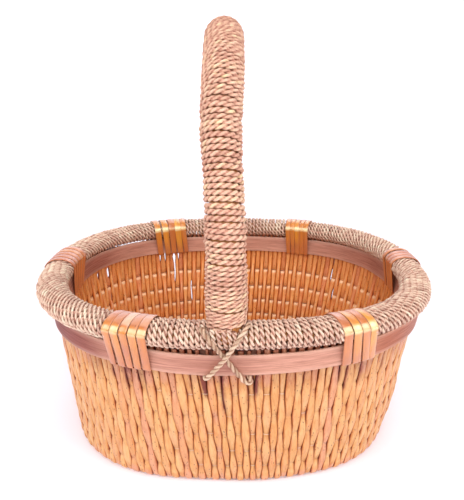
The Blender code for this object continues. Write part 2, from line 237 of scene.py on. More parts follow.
# ------------------------------------------------------------------ materials
class Nodes:
    """Short names for building a material's nodes."""

    def __init__(self, name):
        self.mat = bpy.data.materials.new(name)
        self.mat.use_nodes = True
        self.tree = self.mat.node_tree
        self.bsdf = self.tree.nodes["Principled BSDF"]

    def put(self, socket, value):
        if isinstance(value, bpy.types.NodeSocket):
            self.tree.links.new(value, socket)
        elif isinstance(value, (tuple, list)) and len(value) == 3 and socket.type == "RGBA":
            socket.default_value = (*value, 1.0)
        else:
            socket.default_value = value

    def attr(self, name, out):
        n = self.tree.nodes.new("ShaderNodeAttribute")
        n.attribute_name = name
        return n.outputs[out]

    def scaled(self, vector, scale):
        n = self.tree.nodes.new("ShaderNodeVectorMath")
        n.operation = "MULTIPLY"
        self.put(n.inputs[0], vector)
        n.inputs[1].default_value = scale
        return n.outputs[0]

    def noise(self, vector, scale, detail=2.0, rough=0.5, distortion=0.0):
        n = self.tree.nodes.new("ShaderNodeTexNoise")
        self.put(n.inputs["Vector"], self.scaled(vector, scale))
        n.inputs["Scale"].default_value = 1.0
        n.inputs["Detail"].default_value = detail
        n.inputs["Roughness"].default_value = rough
        n.inputs["Distortion"].default_value = distortion
        return n.outputs[0]

    def cells(self, vector, scale, out="Distance"):
        n = self.tree.nodes.new("ShaderNodeTexVoronoi")
        self.put(n.inputs["Vector"], self.scaled(vector, scale))
        n.inputs["Scale"].default_value = 1.0
        return n.outputs[out]

    def ramp(self, fac, stops, mode="LINEAR"):
        n = self.tree.nodes.new("ShaderNodeValToRGB")
        n.color_ramp.interpolation = mode
        e = n.color_ramp.elements
        while len(e) < len(stops):
            e.new(0.5)
        for el, (pos, col) in zip(e, stops):
            el.position = pos
            el.color = (*col, 1.0) if isinstance(col, (tuple, list)) else (col, col, col, 1.0)
        self.put(n.inputs[0], fac)
        return n.outputs[0]

    def mix(self, fac, a, b, blend="MIX"):
        n = self.tree.nodes.new("ShaderNodeMix")
        n.data_type = "RGBA"
        n.blend_type = blend
        n.clamp_factor = True
        self.put(n.inputs[0], fac)
        self.put(n.inputs[6], a)
        self.put(n.inputs[7], b)
        return n.outputs[2]

    def math(self, op, a, b=0.0, clamp=False):
        n = self.tree.nodes.new("ShaderNodeMath")
        n.operation = op
        n.use_clamp = clamp
        self.put(n.inputs[0], a)
        self.put(n.inputs[1], b)
        return n.outputs[0]

    def between(self, value, lo, hi, out_lo=0.0, out_hi=1.0):
        n = self.tree.nodes.new("ShaderNodeMapRange")
        n.clamp = True
        self.put(n.inputs[0], value)
        for k, x in zip((1, 2, 3, 4), (lo, hi, out_lo, out_hi)):
            n.inputs[k].default_value = x
        return n.outputs[0]

    def bump(self, height, strength, distance):
        n = self.tree.nodes.new("ShaderNodeBump")
        n.inputs["Strength"].default_value = strength
        n.inputs["Distance"].default_value = distance
        self.put(n.inputs["Height"], height)
        return n.outputs[0]

    def finish(self, colour, roughness, normal, **constant):
        self.put(self.bsdf.inputs["Base Color"], colour)
        self.put(self.bsdf.inputs["Roughness"], roughness)
        if normal is not None:
            self.put(self.bsdf.inputs["Normal"], normal)
        for key, value in constant.items():
            self.bsdf.inputs[key.replace("_", " ")].default_value = value
        return self.mat


def willow(name, pale, deep, rose, lining, rough_lo, rough_hi):
    """Peeled willow: long grain, rosy and pale rods, small dark specks, with painted shade along the rods' edges and
    seams, painted highlights and shade from the marks value, and partly painted light on the inner faces.
    """
    n = Nodes(name)
    loc, tone, side, marks_and_painted_light = n.attr("loc", "Vector"), n.attr("tone", "Fac"), n.attr("side", "Fac"), n.attr("marks_and_painted_light", "Fac")
    base = n.ramp(tone, [(0.0, rose), (0.12, rose), (0.24, deep), (0.55, pale), (1.0, deep)])
    blotch = n.noise(loc, (0.028, 0.16, 0.16), 3.0, 0.6)
    mottle = n.noise(loc, (0.11, 0.42, 0.42), 3.0, 0.65, 0.4)
    grain = n.noise(loc, (0.05, 1.5, 1.5), 4.0, 0.62)
    base = n.mix(n.between(blotch, 0.46, 0.72, 0.0, 0.60), base, rose)
    base = n.mix(n.between(mottle, 0.46, 0.72, 0.0, 0.70), base, n.mix(1.0, base, (0.86, 0.70, 0.60), "MULTIPLY"))
    base = n.mix(n.between(mottle, 0.30, 0.44, 0.45, 0.0), base, pale)
    base = n.mix(n.between(grain, 0.38, 0.68, 0.0, 0.40), base, deep)
    # painted shade: each rod is painted orange towards its edges and dark red-brown in its seams, where rods curve away
    # and meet
    flank = n.math("SUBTRACT", 1.0, n.math("ABSOLUTE", n.math("SUBTRACT", n.math("MULTIPLY", side, 2.0), 1.0)))
    flank = n.math("ADD", flank, n.between(mottle, 0.3, 0.7, -0.09, 0.09))
    base = n.mix(n.between(flank, 0.04, 0.36, 0.0, 1.0), base, n.mix(1.0, base, (0.91, 0.62, 0.37), "MULTIPLY"))
    seam = n.math("MULTIPLY", n.between(flank, 0.19, 0.54, 0.0, 1.0), n.between(side, 0.5, 0.7, 1.0, 0.6))
    base = n.mix(seam, base, n.mix(1.0, base, (0.28, 0.068, 0.034), "MULTIPLY"))
    speck = n.cells(loc, (0.20, 0.40, 0.40))
    sparse = n.noise(loc, (0.06, 0.3, 0.3), 1.0)
    dots = n.math("MULTIPLY", n.between(speck, 0.13, 0.22, 1.0, 0.0), n.between(sparse, 0.41, 0.50, 0.0, 1.0))
    base = n.mix(n.math("MULTIPLY", dots, 0.74), base, (0.20, 0.06, 0.035))
    # the inner faces are multiplied by the lining colour: partly their own warmer colour, partly painted light that
    # brightens the inside
    base = n.mix(n.between(side, 0.45, 0.8, 0.0, 1.0), base, n.mix(1.0, base, lining, "MULTIPLY"))
    # painted highlight: negative marks mix the rod towards pale gold
    base = n.mix(n.between(marks_and_painted_light, 0.0, -1.0, 0.0, 0.92), base, (0.97, 0.72, 0.46))
    # positive marks darken the rod: real stains, and also painted shade on the rod tops under the rim and on the inside
    # lengths that lie back
    stain_and_shade = n.math("MULTIPLY", n.math("MAXIMUM", marks_and_painted_light, 0.0), n.between(mottle, 0.34, 0.62, 0.55, 1.1))
    base = n.mix(stain_and_shade, base, n.mix(1.0, base, (0.28, 0.11, 0.16), "MULTIPLY"))
    rough = n.between(grain, 0.3, 0.75, rough_lo, rough_hi)
    height = n.math("ADD", n.math("MULTIPLY", grain, 0.7), n.math("MULTIPLY", mottle, 0.8))
    return n.finish(base, rough, n.bump(height, 0.4, 0.0004), Specular_IOR_Level=0.4)


def rope(name, dark, mid, pale, gold, rough, furrow=0.72, between=0.90, crest=0.30):
    """Twisted dry grass: fibres along each strand, strands of several shades, with a painted highlight on each strand's
    crest and painted shade in the grooves and between the turns.
    """
    n = Nodes(name)
    loc, tone, side = n.attr("loc", "Vector"), n.attr("tone", "Fac"), n.attr("side", "Fac")
    patch = n.noise(loc, (0.035, 0.25, 0.25), 2.0, 0.5)
    shade = n.math("ADD", n.math("MULTIPLY", tone, 0.55), n.math("MULTIPLY", patch, 0.5))
    base = n.ramp(shade, [(0.22, dark), (0.44, mid), (0.62, pale), (0.80, gold)])
    fibre = n.noise(loc, (0.06, 2.6, 2.6), 3.0, 0.6)
    base = n.mix(n.between(fibre, 0.38, 0.60, 0.45, 0.0), base, dark)
    groove = n.attr("marks_and_painted_light", "Fac")
    # painted highlight along the crest of each strand
    base = n.mix(n.math("MULTIPLY", n.between(groove, 0.30, 0.0, 0.0, crest), n.between(fibre, 0.42, 0.62, 0.3, 1.0)), base, gold)
    # painted shade where the two strands meet
    base = n.mix(n.math("MULTIPLY", groove, furrow), base, n.mix(1.0, base, (0.46, 0.24, 0.18), "MULTIPLY"))
    # painted shade deep between the turns, where the side value is low
    base = n.mix(n.between(side, 0.12, 0.66, between, 0.0), base, n.mix(1.0, base, (0.43, 0.215, 0.165), "MULTIPLY"))
    return n.finish(base, n.between(fibre, 0.3, 0.7, rough, rough - 0.16),
                    n.bump(fibre, 0.55, 0.0005), Specular_IOR_Level=0.3)


def splint():
    """Thin sliced wood: fine straight grain along the band, painted darker in patches partly as painted shade, with a
    painted highlight along its edges.
    """
    n = Nodes("splint_wood")
    loc, tone, edge = n.attr("loc", "Vector"), n.attr("tone", "Fac"), n.attr("side", "Fac")
    wide = n.noise(loc, (0.010, 0.26, 0.26), 3.0, 0.60, 0.12)
    fine = n.noise(loc, (0.030, 0.85, 0.85), 4.0, 0.72, 0.12)
    pores = n.noise(loc, (0.05, 2.4, 2.4), 2.0, 0.5)
    base = n.ramp(wide, [(0.25, (0.56, 0.270, 0.188)), (0.5, (0.64, 0.320, 0.230)), (0.78, (0.71, 0.375, 0.278))])
    base = n.mix(n.between(fine, 0.36, 0.56, 0.62, 0.0), base, (0.36, 0.140, 0.090))
    base = n.mix(n.between(fine, 0.58, 0.72, 0.0, 0.40), base, (0.80, 0.44, 0.35))
    base = n.mix(n.between(pores, 0.56, 0.70, 0.0, 0.50), base, (0.30, 0.11, 0.075))
    # tone darkens the band: partly painted shade where it lies under the rim and lashings, partly the wood's own darker
    # patches
    base = n.mix(tone, base, n.mix(1.0, base, (0.37, 0.130, 0.115), "MULTIPLY"))
    base = n.mix(n.attr("marks_and_painted_light", "Fac"), base, n.mix(1.0, base, (1.0, 0.72, 0.48), "MULTIPLY"))
    # painted highlight along the band's top and bottom edges
    base = n.mix(n.math("MULTIPLY", edge, 0.45), base, (0.84, 0.55, 0.42))
    height = n.math("ADD", fine, n.math("MULTIPLY", pores, -0.5))
    return n.finish(base, n.between(fine, 0.3, 0.7, 0.62, 0.42), n.bump(height, 0.35, 0.0003), Specular_IOR_Level=0.4)


def cane():
    """Glossy cane skin: warm amber with long streaks and a few marks, browner in places, with a painted highlight where
    it bends and a painted sheen over the rim.
    """
    n = Nodes("cane_skin")
    loc, tone, edge = n.attr("loc", "Vector"), n.attr("tone", "Fac"), n.attr("side", "Fac")
    wide = n.noise(loc, (0.03, 0.25, 0.25), 3.0, 0.6)
    fine = n.noise(loc, (0.03, 2.2, 2.2), 3.0, 0.6)
    base = n.ramp(tone, [(0.0, (0.60, 0.165, 0.040)), (0.35, (0.72, 0.24, 0.035)), (0.65, (0.79, 0.30, 0.035)), (1.0, (0.87, 0.39, 0.045))])
    base = n.mix(n.between(wide, 0.46, 0.70, 0.0, 0.70), base, (0.66, 0.255, 0.110))
    base = n.mix(n.between(fine, 0.40, 0.66, 0.40, 0.0), base, (0.46, 0.135, 0.035))
    base = n.mix(n.between(edge, 0.80, 1.0, 0.0, 0.66), base, (0.37, 0.105, 0.042))
    wear_and_painted_light = n.noise(loc, (0.05, 0.12, 0.12), 3.0, 0.6)
    base = n.mix(n.math("MULTIPLY", n.math("MAXIMUM", n.attr("marks_and_painted_light", "Fac"), 0.0), n.between(wear_and_painted_light, 0.36, 0.62, 0.35, 0.95)), base, (0.52, 0.160, 0.060))
    # painted highlight: negative marks mix the skin towards pale yellow
    base = n.mix(n.math("MULTIPLY", n.between(n.attr("marks_and_painted_light", "Fac"), 0.0, -1.0, 0.0, 1.0), n.between(wear_and_painted_light, 0.3, 0.7, 1.0, 0.75)), base, (1.0, 0.84, 0.46))
    # painted sheen: marks above 1.2 mix the skin towards a pale pinkish reflection
    base = n.mix(n.between(n.attr("marks_and_painted_light", "Fac"), 1.2, 2.2, 0.0, 0.85), base, (0.86, 0.50, 0.335))
    speck = n.cells(loc, (0.07, 0.23, 0.23))
    sparse = n.noise(loc, (0.03, 0.2, 0.2), 1.0)
    dots = n.math("MULTIPLY", n.between(speck, 0.05, 0.11, 1.0, 0.0), n.between(sparse, 0.50, 0.58, 0.0, 1.0))
    base = n.mix(n.math("MULTIPLY", dots, 0.75), base, (0.16, 0.05, 0.02))
    return n.finish(base, n.between(wide, 0.3, 0.7, 0.26, 0.38), n.bump(fine, 0.18, 0.0002),
                    Specular_IOR_Level=0.45, Coat_Weight=1.0, Coat_Roughness=0.20, Coat_IOR=1.55)


def pole():
    n = Nodes("pole_wood")
    loc = n.attr("loc", "Vector")
    grain = n.noise(loc, (0.02, 0.8, 0.8), 4.0, 0.6)
    base = n.ramp(grain, [(0.3, (0.42, 0.140, 0.040)), (0.55, (0.62, 0.255, 0.075)), (0.75, (0.70, 0.33, 0.12))])
    return n.finish(base, n.between(grain, 0.3, 0.7, 0.5, 0.36), n.bump(grain, 0.3, 0.0004))


WILLOW = willow("willow_rod", (0.745, 0.450, 0.206), (0.672, 0.322, 0.112), (0.670, 0.318, 0.200), (1.21, 1.00, 0.79), 0.50, 0.30)
FLOOR_WILLOW = willow("willow_floor", (0.70, 0.36, 0.15), (0.62, 0.28, 0.10), (0.60, 0.28, 0.15), (0.9, 0.8, 0.65), 0.60, 0.42)
SPLINT = splint()
CANE = cane()
POLE = pole()
RIM_ROPE = rope("seagrass_cord", (0.38, 0.185, 0.135), (0.68, 0.405, 0.310), (0.82, 0.575, 0.445), (0.95, 0.82, 0.64), 0.80, 0.84, 0.88, 0.42)
HANDLE_ROPE = rope("handle_rope", (0.50, 0.24, 0.170), (0.73, 0.415, 0.310), (0.84, 0.55, 0.410), (0.95, 0.76, 0.46), 0.80, 0.82, 0.82, 0.20)
LASH_ROPE = rope("lashing_cord", (0.24, 0.12, 0.075), (0.49, 0.305, 0.200), (0.70, 0.495, 0.355), (0.81, 0.64, 0.47), 0.86, 0.90)
TWINE = rope("thin_twine", (0.46, 0.26, 0.15), (0.66, 0.42, 0.27), (0.76, 0.54, 0.38), (0.82, 0.62, 0.46), 0.86)

# ------------------------------------------------------------------ willow wall
RODS = 170
rng = np.random.default_rng(11)
_grid = np.linspace(0, 1, 8001)
_cum = _grid - 0.055 * np.sin(2 * PI * _grid) / (2 * PI)
_at = np.interp((np.arange(RODS) + 0.5) / RODS, _cum, _grid) + rng.uniform(-0.9, 0.9, RODS) / PERIMETER
_next, _last = np.append(_at[1:], _at[0] + 1), np.append(_at[-1] - 1, _at[:-1])
ROD_S = (_last + 2 * _at + _next) / 4                     # each rod fills the space between two seams
ROD_HALF = (_next - _last) / 4                            # half width, as a share of the way round


def around(s, c, w):
    """A smooth patch of width w about share c of the way round."""
    return np.exp(-(((s - c + 0.5) % 1 - 0.5) / w) ** 2)


def row_z(k, s):
    s = s - np.floor(s)
    return TWINE_ROWS[k] + 0.7 * np.sin(2 * PI * (2 * s + 0.17 * k) + 0.5) + 0.8 * noise(s * 90, 50 + k, 90)


def sway(s, z):
    """Small sideways wander shared by neighbouring rods, as a share of the way round."""
    s = s - np.floor(s)
    lean = 14 * around(s, 0.955, 0.06) + 6 * around(s, 0.04, 0.07)      # the front was pulled askew
    return (1.6 * noise(s * 22, 71, 22) * np.sin(z / 45.0 + 6 * noise(s * 9, 72, 9))
            + 1.5 * noise(s * 13, 73, 13) * (z - 70) / 70 + lean * (75 - z) / 130) / PERIMETER


def belly(s, z):
    """The wall swells a little low on the right and draws in low along the front."""
    s = s - np.floor(s)
    return (2.8 * around(s, 0.195, 0.05) * np.exp(-((z - 50) / 28) ** 2)
            - (2.8 * around(s, 0.065, 0.045) + 2.9 * around(s, 0.965, 0.05)) * (1 - step(z, 5, 60)))


def band_lift(s, inside):
    """How far the flat bands ride above their nominal height round the basket."""
    q = np.sin(2 * PI * s)
    back = 0.5 - 0.5 * np.cos(2 * PI * s)
    if inside:
        return 1.2 + 2.3 * back + 3.2 * q * q - 0.8 * q
    dip = np.exp(-(((s - 0.631) % 1 - 0.5 + 0.5 * np.sign(0.5 - (s - 0.631) % 1)) / 0.023) ** 2)
    return -0.8 + 5.0 * (1 - np.exp(-(q / 0.55) ** 2)) + 1.4 * q + 3.6 * back ** 4 + 1.3 * back ** 12 - 6.0 * dip


def build_wall():
    i = np.arange(RODS)
    s0 = ROD_S
    ends = 10
    rows = [row_z(k, s0) for k in range(5)]
    sign = [np.where((i + k) % 2 == 0, -1.0, 1.0) for k in range(5)]       # -1: twine passes outside
    top = 151.6 + band_lift(s0, False) + rng.uniform(-1.0, 0.9, RODS)
    knots = [np.full(RODS, 8.5)] + rows + [np.full(RODS, 131.0), top]
    waves = [-0.6 * sign[0]] + [sg * rng.uniform(0.6, 1.15, RODS) for sg in sign] + [-0.25 * sign[4], np.zeros(RODS)]
    t = np.array([0, 0.03, 0.07, 0.12, 0.19, 0.29, 0.42, 0.58, 0.71, 0.81, 0.88, 0.93, 0.97])
    ease = 0.85 * t + 0.15 * t * t * (3 - 2 * t)
    zz, ww = [], []
    for k in range(7):
        zz.append(knots[k][:, None] * (1 - t) + knots[k + 1][:, None] * t)
        ww.append(waves[k][:, None] * (1 - ease) + waves[k + 1][:, None] * ease)
    z = np.concatenate(zz + [knots[7][:, None]], 1)
    w = np.concatenate(ww + [waves[7][:, None]], 1)
    dent_out, dent_in, neck = np.zeros_like(z), np.zeros_like(z), np.zeros_like(z)
    for k in range(5):
        d = z - rows[k][:, None]
        # steep just under the twine, easier above it
        close = np.exp(-(d / np.where(d < 0, 1.9, 2.8)) ** 2)
        dent_out += close * (sign[k] < 0)[:, None]
        dent_in += close * (sign[k] > 0)[:, None]
        neck += np.exp(-((d + 2.2) / 1.8) ** 2) * (sign[k] > 0)[:, None]
    head = step(z, 124, 132)
    quiet = np.minimum(1, sum(around(s0, c, 0.082) for c in (0.15, 0.33, 0.67, 0.865)))[:, None]     # the corners lie flatter
    calm = 1 - 0.56 * quiet
    off = 1.25 * w * calm + belly(s0[:, None], z)
    thick = 2.95 * (1 - head) + 3.5 * head
    out, inn = thick - 0.80 * dent_out, thick - 1.80 * dent_in
    width = 1.085 + 0.27 * w * (1 - head) - 0.34 * head * step(z, 138, 146)
    width *= rng.uniform(0.985, 1.03, RODS)[:, None]
    # the turn under the floor, from its hidden end outwards
    reach = rng.uniform(17, 24, RODS)
    o = off[:, 0]
    b = np.linspace(0, 1, ends + 1)[:-1]
    p0 = np.stack([o - 7.5, np.full(RODS, 2.95)], -1)
    p1 = np.stack([o - 2.4, np.full(RODS, 2.95)], -1)
    p2 = np.stack([o - 0.1, np.full(RODS, 4.2)], -1)
    p3 = np.stack([o, np.full(RODS, 8.5)], -1)
    c = [((1 - b) ** 3), 3 * b * (1 - b) ** 2, 3 * b * b * (1 - b), b ** 3]
    bend = sum(cf[None, :, None] * p[:, None, :] for cf, p in zip(c, (p0, p1, p2, p3)))
    tail_t = np.array([0, 0.04, 0.10, 0.2, 0.45, 0.75])
    tail = np.stack([(o - reach)[:, None] * (1 - tail_t) + (o - 7.5)[:, None] * tail_t,
                     np.full((RODS, len(tail_t)), 2.95)], -1)
    off = np.concatenate([tail[..., 0], bend[..., 0], off], 1)
    z = np.concatenate([tail[..., 1], bend[..., 1], z], 1)
    low = len(tail_t) + ends
    lead = np.array([0.35, 0.72, 0.92, 1, 1, 1] + [1] * ends)
    squeeze = np.interp(np.arange(low), [0, len(tail_t), low], [0.84, 0.93, 1.0])
    width = np.concatenate([width[:, :1] * lead * squeeze, width], 1)
    out = np.concatenate([np.full((RODS, low), 2.95) * lead, out], 1)
    cap = np.concatenate([np.zeros((RODS, low)), neck], 1)
    swell = np.concatenate([np.zeros((RODS, low)), w * (1 - head)], 1)
    inn = np.concatenate([np.full((RODS, low), 2.7) * lead, inn], 1)
    d_off, d_z = np.gradient(off, axis=1), np.gradient(z, axis=1)
    size = np.hypot(d_off, d_z)
    n_off, n_z = d_z / size, -d_off / size
    # open seams here and there
    gap = np.zeros(RODS)                                   # after rod i
    behind = np.cos(2 * PI * s0) < 0.1
    pick = rng.uniform(0, 1, RODS)
    gap[~behind & (pick < 0.12)] = rng.uniform(0.3, 0.9, (~behind & (pick < 0.12)).sum())
    high = step(z, 117, 127)
    long = np.zeros(RODS)
    seam = s0 + ROD_HALF
    seam = (seam + sway(seam, 120.0)) % 1
    for sf, wide in ((HANDLE_S - 17.5 / PERIMETER, 2.6), (HANDLE_S + 22.5 / PERIMETER, 2.4),
                     (0.598, 2.0), (0.590, 1.8), (0.581, 2.4), (0.572, 1.7), (0.372, 1.3), (0.341, 1.0)):
        gap[np.argmin(np.abs(seam - sf % 1))] = wide
        if 0.578 < sf < 0.584:
            long[np.argmin(np.abs(seam - sf % 1))] = 2.0
    before, before_long = np.roll(gap, 1), np.roll(long, 1)
    tall = step(z, 84, 98) * (1 - step(z, 126, 130))
    pull = ((before - gap)[:, None] * high + (before_long - long)[:, None] * tall) / 4 / PERIMETER
    thin = ((before + gap)[:, None] * high + (before_long + long)[:, None] * tall) / 4 / PERIMETER
    slit = np.zeros_like(z)                                # after rod i, part of its height
    for sf, lo, hi, wide in ((0.5537, 62, 88, 2.2), (0.670, 119, 130, 4.6), (0.687, 123, 130, 4.0),
                             (0.3700, 102, 116, 1.7), (0.3655, 76, 90, 1.5), (0.667, 86, 94, 2.4)):
        k = int(np.argmin(np.abs(seam - sf)))
        slit[k] += wide * step(z[k], lo - 4, lo + 3) * (1 - step(z[k], hi - 1, hi + 4))
    pull = pull + (np.roll(slit, 1, 0) - slit) / 4 / PERIMETER
    thin = thin + (np.roll(slit, 1, 0) + slit) / 4 / PERIMETER
    slim = 1 - 0.30 * np.clip(thin * PERIMETER, 0, 1.4)     # a rod narrowed there is thinner too
    out, inn = out * slim, inn * slim
    s_lo, s_hi = (s0 - ROD_HALF)[:, None], (s0 + ROD_HALF)[:, None]
    s_lo, s_hi = s_lo + sway(s_lo, z), s_hi + sway(s_hi, z)
    mid = (s_lo + s_hi) / 2 + pull
    # along the front many rods narrow to their tops, and leave small wedges open below the band
    taper = np.random.default_rng(29).uniform(-0.2, 1.0, RODS).clip(0, 1) * around(s0, 0.0, 0.13)
    taper = 0.20 * taper[:, None] * step(z, 98, 126) * (1 - step(z, 131, 136))
    half = np.maximum((s_hi - s_lo) / 2 * width * (1 - taper) - thin, 0.3 * ROD_HALF[:, None])
    sides = 16
    a = 2 * PI * np.arange(sides) / sides
    boxy = np.where(np.sin(a) > 0.01, 0.66, 0.85)           # flatter faces outside, rounder inside
    cx = np.sign(np.cos(a)) * np.abs(np.cos(a)) ** boxy
    cy = np.sign(np.sin(a)) * np.abs(np.sin(a)) ** boxy
    y = np.where(cy > 0, out[..., None], inn[..., None]) * cy
    rings = wall(mid[..., None] + half[..., None] * cx,
                 z[..., None] + y * n_z[..., None], off[..., None] + y * n_off[..., None])
    along = np.concatenate([np.zeros((RODS, 1)), np.cumsum(np.hypot(np.diff(off, axis=1), np.diff(z, axis=1)), 1)], 1)
    tag = rng.uniform(0, 4000, RODS)
    loc = np.stack([np.broadcast_to((along + tag[:, None])[..., None], y.shape),
                    half[..., None] * PERIMETER * cx, y + 0 * cx], -1)
    hue = 0.13 + 0.87 * ((0.618 * i + 0.12 * rng.uniform(-1, 1, RODS)) % 1)
    # outside, the lengths that lie back, the tops and the turned ends are rosier
    top_end = step(z, 96, 124) * (rng.uniform(-0.3, 1.3, RODS) + 0.5 * around(s0, HANDLE_S, 0.03)).clip(0, 1)[:, None]
    back_end = np.clip(-swell, 0, 1) * rng.uniform(-0.1, 1.0, RODS).clip(0, 1)[:, None]
    rosy = np.maximum(np.maximum(0.85 * top_end, 0.75 * back_end), 0.7 * (1 - step(z, 7, 16)))
    tone = hue[:, None, None] * (1 - rosy[..., None] * (np.sin(a) > -0.1))
    tone = tone + (0.10 - tone) * step(z, 131, 136)[..., None]                           # rosy between band and rim
    # the painted seam shade shows darkest along the front and back
    keen = 1 - 0.55 * quiet[:, :, None]
    side = np.broadcast_to(0.5 - 0.5 * np.sign(np.sin(a)) * np.abs(np.sin(a)) ** keen, y.shape)
    # rod ends under the rim are painted dark as painted shade, all rods darken a little just under the band, and old
    # damp has stained a few tops below the band
    stain = sum(a * np.exp(-(((s0 - c + 0.5) % 1 - 0.5) / w) ** 2) for c, w, a in (
        (HANDLE_S - 16 / PERIMETER, 0.0055, 0.7), (HANDLE_S + 26 / PERIMETER, 0.004, 0.6), (0.917, 0.018, 0.7),
        (0.885, 0.012, 0.4), (0.05, 0.010, 0.3), (0.105, 0.014, 0.4)))
    stain = stain * rng.uniform(0.25, 1.0, RODS) + rng.uniform(0, 0.18, RODS)
    marks_and_painted_light = 0.60 * step(z, 133, 141) + (1 - step(z, 133, 141)) * (stain[:, None] * step(z, 98, 126) + 0.15 * step(z, 108, 126))
    marks_and_painted_light = np.repeat(marks_and_painted_light[..., None], sides, 2)
    for c, low_z, deep, left, right in (
            (HANDLE_S - 14 / PERIMETER, 99, 1.7, -0.4, 0.5), (HANDLE_S - 7 / PERIMETER, 82, 1.4, 0.1, 0.1),
            (HANDLE_S + 22 / PERIMETER, 102, 1.5, 0.2, -0.2), (HANDLE_S + 15.5 / PERIMETER, 84, 0.7, 0.2, 0.2),
            (0.898, 108, 0.9, 0.2, 0.3), (0.911, 98, 1.0, 0.2, 0.2), (0.922, 108, 0.9, 0.3, 0.2), (0.930, 94, 0.8, 0.2, 0.2),
            (0.083, 106, 1.0, 0.2, 0.2), (0.094, 98, 1.0, 0.2, 0.2), (0.104, 102, 0.9, 0.2, 0.2), (0.055, 106, 0.7, 0.2, 0.2),
            (0.965, 104, 0.6, 0.1, 0.2), (0.130, 104, 0.7, 0.1, 0.1)):
        k = int(np.argmin(np.abs(seam - c % 1)))
        for rod, way, lo in ((k, 1, left), ((k + 1) % RODS, -1, right)):
            marks_and_painted_light[rod] += deep * (step(z[rod], low_z, low_z + 10) * (1 - step(z[rod], 132, 138)))[:, None] * step(way * np.cos(a), lo, lo + 0.7)
    # inside, the rounded shoulders under each twine row and the rods that stand proud get a painted highlight, and the
    # lengths that lie back get painted shade
    inner, centre = step(-np.sin(a), 0.15, 0.7), 1 - np.abs(np.cos(a))
    pale = 0.95 * cap[..., None] * step(centre, 0.05, 0.5) + 0.62 * np.clip(-swell, 0, 1)[..., None] * step(centre, 0.5, 0.97)
    deep = 0.22 * np.clip(swell, 0, 1)[..., None]
    marks_and_painted_light = marks_and_painted_light + inner * (deep - pale) * (1 - step(z, 126, 134))[..., None]
    panel = (np.floor(((s0 * 48 + 2) % 48) / 4)).astype(int)
    for k, label in enumerate(PANEL_NAMES):
        m = panel == k
        piece = Piece()
        piece.tubes(rings[m], loc[m], tone[m], side[m], girth=20, marks_and_painted_light=marks_and_painted_light[m])
        piece.make("rods_" + label, WILLOW, "willow", "wall_rods_" + label)


HANDLE_S = s_of(math.atan2(-RIM_B, HANDLE_X))
HANDLE_S_BACK = s_of(math.atan2(RIM_B, HANDLE_X))
build_wall()

# ------------------------------------------------------------------ twine rows
for k in range(5):
    per = 8
    idx = np.arange(RODS * per) / per
    line_s = np.interp(idx, np.arange(-1, RODS + 2), np.concatenate(([ROD_S[-1] - 1], ROD_S, [ROD_S[0] + 1, ROD_S[1] + 1])))
    wave = np.cos(PI * (idx + k))
    z = row_z(k, line_s)
    off = np.where(wave > 0, 0.92, 0.55) * np.sign(wave) * np.abs(wave) ** 0.55
    line_s = line_s + sway(line_s, z)
    a = 2 * PI * np.arange(6) / 6
    off_t = off + belly(line_s, z)
    rings = wall(line_s[:, None], (z[:, None] + 0.40 * np.sin(a)), off_t[:, None] + 0.40 * np.cos(a))[None]
    run = np.concatenate(([0], np.cumsum(np.linalg.norm(np.diff(rings[0].mean(1), axis=0), axis=1))))
    loc = np.stack(np.broadcast_arrays(run[:, None] + 900.0 * k, 0.55 * np.sin(a)[None], 0.5 * np.cos(a)[None]), -1)[None]
    piece = Piece()
    tone = 0.75 + 0.25 * noise(run / 30, 80 + k)
    # the runs that pass inside the rods get a low side value, which the twine finish paints dark as painted shade
    outer = step(off, -0.1, 0.6)
    piece.tubes(rings, loc, np.broadcast_to(tone[None, :, None], rings.shape[:3]),
                np.broadcast_to(outer[None, :, None], rings.shape[:3]), closed=True, girth=3.2)
    piece.make("twine_%d" % (k + 1), TWINE, "twine", "twine_row_%d" % (k + 1))


